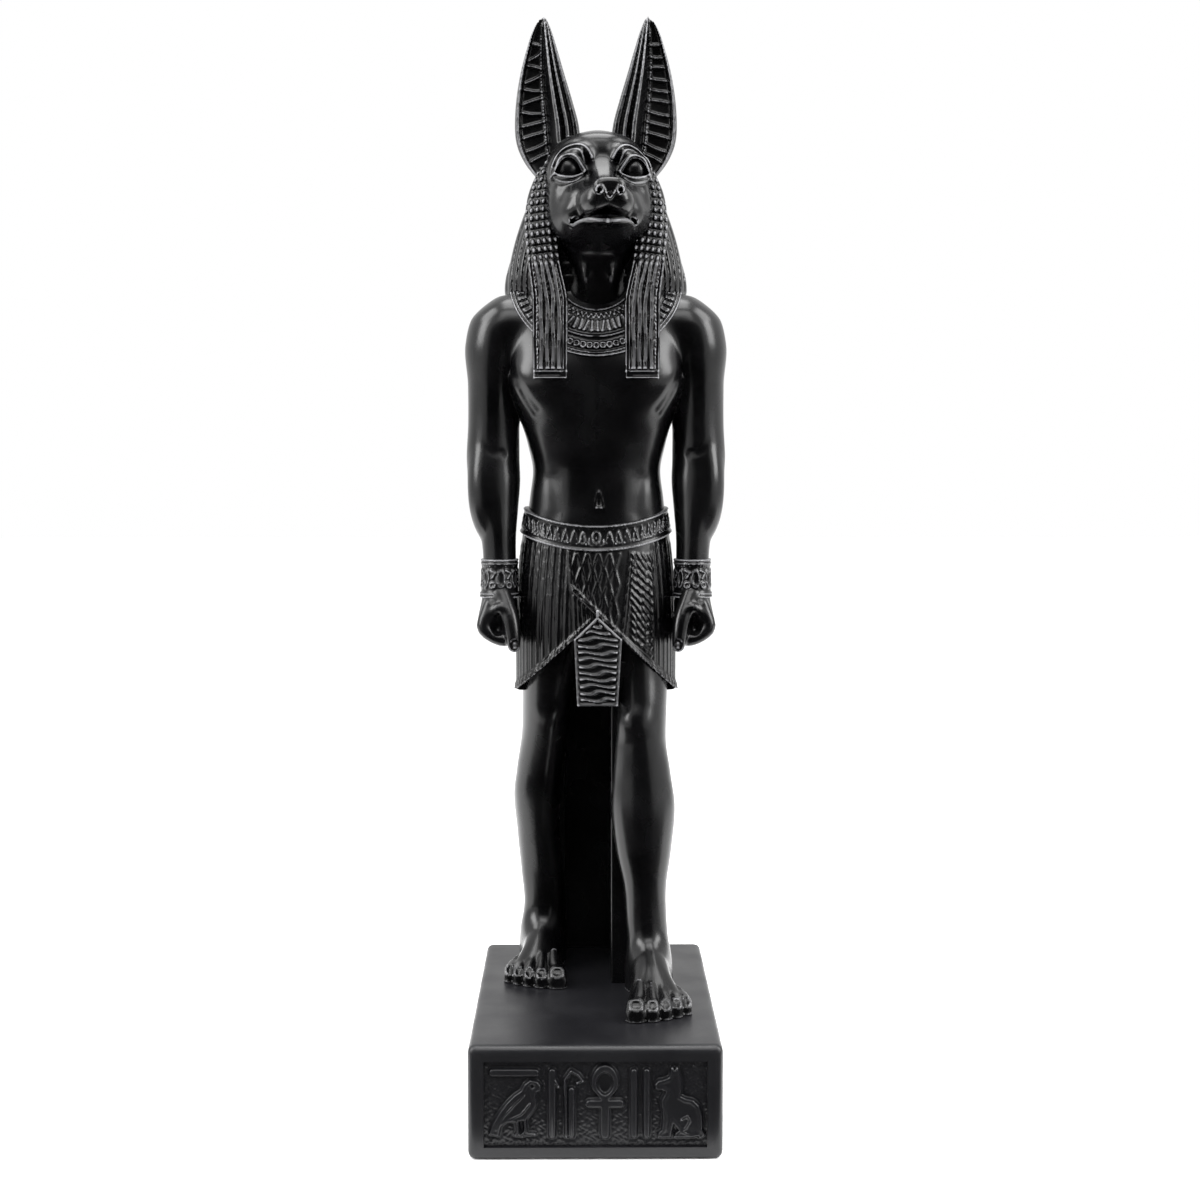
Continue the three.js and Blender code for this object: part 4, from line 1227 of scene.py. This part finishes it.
def rounded_block(low, high, radius, extra=((), (), ())):
    """Corners and faces of a block with rounded edges; extra holds more grid lines for each axis."""
    bends = 4
    clear = 1.4 * radius
    lines = []
    for axis in range(3):
        near = [low[axis] + radius * (1 - math.cos(math.pi / 2 * k / bends)) for k in range(bends + 1)]
        far = [low[axis] + high[axis] - v for v in near]
        spare = [low[axis] + clear, high[axis] - clear]
        lines.append(sorted(set(near + far + spare + list(extra[axis]))))
    corners = {}
    places = []
    faces = []
    inner_low = np.array(low) + radius
    inner_high = np.array(high) - radius

    def corner(point):
        key = tuple(round(v, 7) for v in point)
        if key not in corners:
            held = np.clip(point, inner_low, inner_high)
            away = np.array(point) - held
            size = np.linalg.norm(away)
            corners[key] = len(places)
            places.append(held + away * (radius / size) if size > 1e-9 else np.array(point))
        return corners[key]

    for axis in range(3):
        one, two = [k for k in range(3) if k != axis]
        for end in (low[axis], high[axis]):
            for a0, a1 in zip(lines[one][:-1], lines[one][1:]):
                for b0, b1 in zip(lines[two][:-1], lines[two][1:]):
                    ring = []
                    for a, b in ((a0, b0), (a1, b0), (a1, b1), (a0, b1)):
                        point = [0, 0, 0]
                        point[axis], point[one], point[two] = end, a, b
                        ring.append(tuple(point))
                    faces.append((axis, end, ring))
    return corner, places, faces


def block_piece(name, places, quads, material, node):
    mesh = bpy.data.meshes.new(name)
    mesh.from_pydata([tuple(place) for place in places], [], quads)
    work = bmesh.new()
    work.from_mesh(mesh)
    bmesh.ops.remove_doubles(work, verts=work.verts, dist=1e-7)
    bmesh.ops.recalc_face_normals(work, faces=work.faces)
    work.to_mesh(mesh)
    work.free()
    mesh.shade_smooth()
    mesh.set_sharp_from_angle(angle=math.radians(50))
    place_piece(name, mesh, material, node)


# Back pillar, the web that joins the advanced leg to it and the brace behind the other leg

PILLAR_SIDE = 13.07
PILLAR_FACE = 42.48
PILLAR_TOP = 183
WEB_SIDES = (4.2, 9.73)
BRACE_OUTER = PILLAR_SIDE - 0.4
BRACE_INNER = 9
BRIDGE_SIDE = 0.8 * PILLAR_SIDE
BRIDGE_TOP = PILLAR_TOP - 0.8
INSIDE_PILLAR = 45
INSIDE_KILT = 92
PILLAR_EDGE = 0.5


def make_pillar(material):
    blocks = {
        "back_pillar": ((-PILLAR_SIDE, PILLAR_FACE, 0), (PILLAR_SIDE, PILLAR_BACK, PILLAR_TOP)),
        "back_bridge": ((-BRIDGE_SIDE, 31, 82.5), (BRIDGE_SIDE, INSIDE_PILLAR, BRIDGE_TOP)),
        "leg_web": ((WEB_SIDES[0], 6, 0), (WEB_SIDES[1], INSIDE_PILLAR, INSIDE_KILT)),
        "leg_brace": ((-BRACE_OUTER, 32, 0), (-BRACE_INNER, INSIDE_PILLAR, INSIDE_KILT)),
    }
    for name, (low, high) in blocks.items():
        low, high = to_frame(np.array([low, high]))
        corner, places, faces = rounded_block(low, high, PILLAR_EDGE * SQUARE)
        quads = [[corner(point) for point in ring] for _, _, ring in faces]
        block_piece(name, places, quads, material, "figure")


def make_plinth(material):
    low = np.array(PLINTH_LOW)
    high = np.array(PLINTH_HIGH)
    left, right = low[0] + PANEL_SIDE, high[0] - PANEL_SIDE
    bottom, top = low[2] + PANEL_BOTTOM, high[2] - PANEL_TOP
    extra = [(left, right), (), (bottom, top)]
    corner, places, faces = rounded_block(low, high, PLINTH_EDGE, extra)
    quads = []
    panel_faces = []
    for axis, end, ring in faces:
        middle = np.mean(ring, 0)
        in_panel = axis == 1 and end == low[1] and left < middle[0] < right and bottom < middle[2] < top
        if in_panel:
            panel_faces.append(ring)
            continue
        quads.append([corner(p) for p in ring])
    xs = sorted({point[0] for ring in panel_faces for point in ring})
    zs = sorted({point[2] for ring in panel_faces for point in ring})
    around = [(x, bottom) for x in xs] + [(right, z) for z in zs[1:]]
    around += [(x, top) for x in xs[-2::-1]] + [(left, z) for z in zs[-2:0:-1]]
    front = [corner((x, low[1], z)) for x, z in around]
    sunk = []
    for x, z in around:
        sunk.append(len(places))
        places.append(np.array((x, low[1] + PANEL_DEPTH + BEHIND_SIGNS, z)))
    count = len(around)
    for i in range(count):
        j = (i + 1) % count
        quads.append([front[i], front[j], sunk[j], sunk[i]])
    block_piece("plinth_block", places, quads + [sunk], material, "plinth")
    make_signs(material, left, right, bottom, top, low[1] + PANEL_DEPTH)


def inside_outline(outline, u, w):
    """True inside a closed outline."""
    inside = np.zeros(np.broadcast(u, w).shape, bool)
    for (ua, wa), (ub, wb) in zip(outline, outline[1:] + outline[:1]):
        crosses = (wa > w) != (wb > w)
        at = ua + (w - wa) * (ub - ua) / (wb - wa + 1e-12)
        inside ^= crosses & (u < at)
    return inside


# Signs on the panel, in millimetres: x from the plinth's middle, z from its underside

FALCON = [
    (-17.8, 19.6), (-16.5, 20.6), (-14.8, 20.2), (-14.1, 19.2), (-14.5, 18.4), (-15.4, 18.1),
    (-15.6, 16.8), (-15.2, 14.8), (-16.2, 12.8), (-17.8, 10.9), (-20, 10.3), (-22.5, 10.2),
    (-24.2, 9.1), (-24.9, 6.5), (-25.8, 6.8), (-26.7, 6.9), (-25.8, 9.4), (-24.2, 12.2),
    (-22.3, 14.8), (-20.3, 16.8), (-18.7, 17.9),
]
JACKAL = [
    (15.3, 19.5), (16.1, 20.4), (17.5, 20.7), (18.9, 21.3), (19.3, 22.4), (19.5, 23.9), (20.1, 22.6),
    (20.7, 23.9), (21, 22.2), (21.4, 20.4), (21.4, 18.2), (21.3, 16.5), (22.8, 15.7), (24.7, 15.3),
    (26.1, 13.9), (26.8, 11.4), (26.9, 8.5), (26.6, 6.5), (23.9, 6), (20.3, 6), (20.6, 6.8),
    (21.7, 7.6), (19.6, 10.2), (18.9, 6), (16.1, 6), (16.2, 6.8), (17.2, 7.7), (17.5, 10.2),
    (17.4, 13.1), (17, 15.3), (17.8, 16.8), (18.3, 17.9), (17.2, 18.6), (15.6, 18.6),
]
STROKES = [
    [(-18.1, 17), (-20.3, 14.8), (-23.2, 11.6), (-25.2, 8)],
    [(-16.6, 14.8), (-18.8, 12), (-22.4, 10.3)],
    [(-20, 10.3), (-19.7, 7.2), (-20.3, 6.6), (-18.6, 6.4)],
    [(-18, 10.9), (-17.7, 7.6), (-18.6, 6.8), (-15.5, 6.8)],
    [(21.9, 10.6), (23.3, 11.4), (24, 10.2), (23, 8.4), (21.7, 7.4), (24, 6.4)],
    [(26.6, 8), (27.4, 6.6), (26.6, 6)],
    [(-7.7, 17.4), (-7.7, 21), (-6.2, 23.2), (-4.4, 22.2), (-3.3, 20.7), (-4.6, 20.2)],
    [(-7.6, 18), (-7.4, 6.2)],
    [(-10.2, 20.6), (-9.4, 19.2)],
]
FALCON_EYE = (-16.1, 19.3)
LOOP_MIDDLE = (2.4, 20)
LOOP_HALF = (2.8, 3.9)


def sign_relief(x, z):
    """How far the signs stand proud of the ground and the distance to their edges, in millimetres."""
    bars = [
        ((-26, 22.9), (-15.2, 22.8), 0.85), ((-11, 6.4), (-11, 23), 0.8), ((-6.1, 6.4), (-6.1, 18.2), 0.7),
        ((9.8, 6.4), (9.8, 23), 0.7), ((13, 6.4), (13, 23), 0.7), ((2.4, 6.6), (2.4, 14.4), 1.05),
        ((-1.5, 14.7), (6.3, 14.7), 0.9),
    ]
    nearest = FAR
    for start, end, half in bars:
        nearest = np.minimum(nearest, line_gap([start, end], x, z) - half)
    narrow = 0.55 + 0.45 * step(15.4, 19.5, z)
    across = (x - LOOP_MIDDLE[0]) / (LOOP_HALF[0] * narrow)
    size = np.sqrt(across ** 2 + ((z - LOOP_MIDDLE[1]) / LOOP_HALF[1]) ** 2)
    nearest = np.minimum(nearest, np.abs(size - 1) * 2.9 - 0.6)
    nearest = np.where(size < 1, np.minimum(nearest, 0.6), nearest)
    inner = 0 * nearest
    for outline in (FALCON, JACKAL):
        edge = line_gap(outline + outline[:1], x, z)
        inside = inside_outline(outline, x, z)
        nearest = np.minimum(nearest, np.where(inside, -edge, edge) - 0.25)
        inner = inner + inside * 0.25 * step(0.3, 1, edge)
    height = 1 - step(-0.15, 0.3, nearest) - inner
    for line in STROKES:
        gap = line_gap(line, x, z)
        height = np.maximum(height, 1.05 * (1 - step(0.2, 0.5, gap)))
        nearest = np.minimum(nearest, gap - 0.35)
    from_eye = np.sqrt((x - FALCON_EYE[0]) ** 2 + (z - FALCON_EYE[1]) ** 2)
    height = height - 0.8 * (1 - step(0.3, 0.6, from_eye))
    return height, nearest


def make_signs(material, left, right, bottom, top, ground):
    """The sunk panel's hammered ground with its raised signs, as one slab."""
    thick = 1.6
    spare = 0.5
    low = (left / MM - spare, -3, bottom / MM - spare)
    high = (right / MM + spare, thick, top / MM + spare)
    clay = Clay("signs", low, high)

    def depth(x, y, z):
        pits = 0.16 * np.sin(3.1 * x + 1.3 * np.sin(2.3 * z)) * np.sin(3.7 * z + 1.1 * np.sin(1.9 * x + 1))
        pits = pits + 0.08 * np.sin(6.3 * x + 2 * z) * np.sin(5.2 * z - 2.4 * x)
        signs, gap = sign_relief(x, z)
        proud = pits * step(0.6, 1.1, gap) + signs - 0.3 * bump(gap - 0.6, 0.36)
        return np.maximum(-y - proud, y - thick + 0.3) * 0.8

    clay.add(Shape(depth, low, high))
    corners, faces = clay.skin()
    corners = corners * MM + np.array([0, ground, 0])
    new_piece("sign_panel", corners, faces, material, "plinth", clay.thin)


# Looks

# The light grey painted on sharp edges as a highlight, standing in for the gloss that they would catch
PAINTED_HIGHLIGHT_GREY = (0.2, 0.2, 0.21, 1)


def cast_resin(name, rough, stipple, black, ridges):
    """Black resin whose gloss and depth of black wander a little. Stipple is its fine grain, 0 to 1.

    Black is the darkest share of light that it scatters. Ridges says how sharp an edge begins to get a
    painted highlight, a light grey that stands in for gloss, and how sharp an edge gets it wholly, as one
    over its radius in millimetres.
    """
    material = bpy.data.materials.new(name)
    material.use_nodes = True
    nodes = material.node_tree.nodes
    links = material.node_tree.links
    shader = nodes["Principled BSDF"]
    shader.inputs["Specular IOR Level"].default_value = 0.375
    place = nodes.new("ShaderNodeTexCoord")

    def noise(scale, detail):
        node = nodes.new("ShaderNodeTexNoise")
        node.inputs["Scale"].default_value = scale
        node.inputs["Detail"].default_value = detail
        links.new(place.outputs["Object"], node.inputs["Vector"])
        return node.outputs["Fac"]

    def between(source, low, high, start=0.35, end=0.65):
        node = nodes.new("ShaderNodeMapRange")
        node.inputs["From Min"].default_value = start
        node.inputs["From Max"].default_value = end
        node.inputs["To Min"].default_value = low
        node.inputs["To Max"].default_value = high
        links.new(source, node.inputs["Value"])
        return node.outputs["Result"]

    flow = noise(70, 3)
    grain = noise(2600, 2)
    links.new(between(flow, rough - 0.04, rough + 0.05), shader.inputs["Roughness"])
    tone = nodes.new("ShaderNodeMix")
    tone.data_type = "RGBA"
    tone.inputs["A"].default_value = (black, black, 1.2 * black, 1)
    tone.inputs["B"].default_value = (black + 0.0012, black + 0.0012, 1.2 * black + 0.0014, 1)
    links.new(between(flow, 0, 1), tone.inputs["Factor"])
    # Painted highlight: where the ridge value is high, sharp edges get a light grey in the base colour in
    # place of the gloss they would catch
    painted_highlight = nodes.new("ShaderNodeMix")
    painted_highlight.data_type = "RGBA"
    painted_highlight.inputs["B"].default_value = PAINTED_HIGHLIGHT_GREY
    shape = nodes.new("ShaderNodeAttribute")
    shape.attribute_name = "ridge"
    links.new(between(shape.outputs["Fac"], 0, 1, *ridges), painted_highlight.inputs["Factor"])
    links.new(tone.outputs["Result"], painted_highlight.inputs["A"])
    links.new(painted_highlight.outputs["Result"], shader.inputs["Base Color"])
    dimples = nodes.new("ShaderNodeBump")
    dimples.inputs["Strength"].default_value = 0.02 + 0.3 * stipple
    dimples.inputs["Distance"].default_value = 0.0001
    links.new(grain, dimples.inputs["Height"])
    links.new(dimples.outputs["Normal"], shader.inputs["Normal"])
    return material


# Camera, floor and lights

PHOTO_SIZE = 1200
FOCAL_PIXELS = 1814.4
CAMERA_PLACE = (-0.002564, -0.495325, 0.181995)
CAMERA_DOWN = 4.967
CAMERA_RIGHT = 0.475
SENSOR_WIDTH = 36


def camera():
    data = bpy.data.cameras.new("camera")
    data.sensor_width = SENSOR_WIDTH
    data.lens = SENSOR_WIDTH * FOCAL_PIXELS / PHOTO_SIZE
    data.clip_start = 0.02
    data.clip_end = 20
    made = link("camera", data)
    made.location = CAMERA_PLACE
    made.rotation_euler = Euler((math.radians(90 - CAMERA_DOWN), 0, -math.radians(CAMERA_RIGHT)), "XYZ")
    bpy.context.scene.camera = made


def softbox(name, place, target, size, power):
    data = bpy.data.lights.new(name, "AREA")
    data.shape = "RECTANGLE"
    data.size, data.size_y = size
    data.energy = power
    light = link(name, data)
    light.location = place
    light.rotation_euler = (Vector(target) - Vector(place)).to_track_quat("-Z", "Y").to_euler()


def sheet(name, material_name, grey, rough, gloss, corners, faces):
    """A plain sheet of the studio."""
    material = bpy.data.materials.new(material_name)
    material.use_nodes = True
    shader = material.node_tree.nodes["Principled BSDF"]
    shader.inputs["Base Color"].default_value = (grey, grey, grey, 1)
    shader.inputs["Roughness"].default_value = rough
    shader.inputs["Specular IOR Level"].default_value = gloss
    mesh = bpy.data.meshes.new(name)
    mesh.from_pydata(corners, [], faces)
    mesh.materials.append(material)
    return link(name, mesh)


def studio():
    reach = 3.0
    corners = [(-reach, -reach, 0), (reach, -reach, 0), (reach, reach, 0), (-reach, reach, 0)]
    floor = sheet("floor", "pale_floor", 0.98, 0.7, 0.5, corners, [(0, 1, 2, 3)])
    world = bpy.data.worlds.new("studio")
    world.use_nodes = True
    world.node_tree.nodes["Background"].inputs["Color"].default_value = (1, 1, 1, 1)
    world.node_tree.nodes["Background"].inputs["Strength"].default_value = 1.0
    bpy.context.scene.world = world
    for side in (LEFT, RIGHT):
        softbox("side_box", (0.94 * side, -0.28, 0.62), (0, 0, 0.3), (0.5, 0.56), 9)
        softbox("high_box", (0.72 * side, -0.05, 1), (0, 0, 0.2), (0.6, 0.45), 6)
    softbox("top_box", (0, 0.12, 1.25), (0, 0.12, 0.16), (0.65, 0.9), 12)
    softbox("front_box", (0, -0.62, 1.05), (0, 0, 0.2), (0.8, 0.35), 4)
    flag()


def flag():
    """A black cloth on the floor before the plinth and up behind the camera. Only the gloss sees it."""
    half = 0.8
    lift = 0.002
    profile = [(-0.056, lift), (-1.1, lift), (-1.1, 0.95)]
    corners = [(side * half, y, z) for y, z in profile for side in (LEFT, RIGHT)]
    cloth = sheet("flag", "black_cloth", 0.002, 1, 0, corners, [(0, 1, 3, 2), (2, 3, 5, 4)])
    cloth.visible_camera = False
    cloth.visible_diffuse = False
    cloth.visible_shadow = False


bpy.context.scene.view_settings.view_transform = "Standard"
# The last values say from what sharpness the edges of each resin get the painted highlight
resin = cast_resin("black_resin", 0.25, 0, 0.0008, (0.45, 1.7))
pleated_resin = cast_resin("pleated_resin", 0.25, 0, 0.0008, (1.1, 3.2))
base_resin = cast_resin("plinth_resin", 0.34, 1, 0.0055, (1.3, 4))
camera()
studio()
make_head(resin)
make_wig(resin)
make_lappets(resin)
make_torso(resin)
make_collar(resin)
make_fists(resin)
make_bracelets(resin)
make_kilt(pleated_resin)
make_belt(resin)
make_tab(resin)
make_legs(resin)
make_pillar(resin)
make_plinth(base_resin)
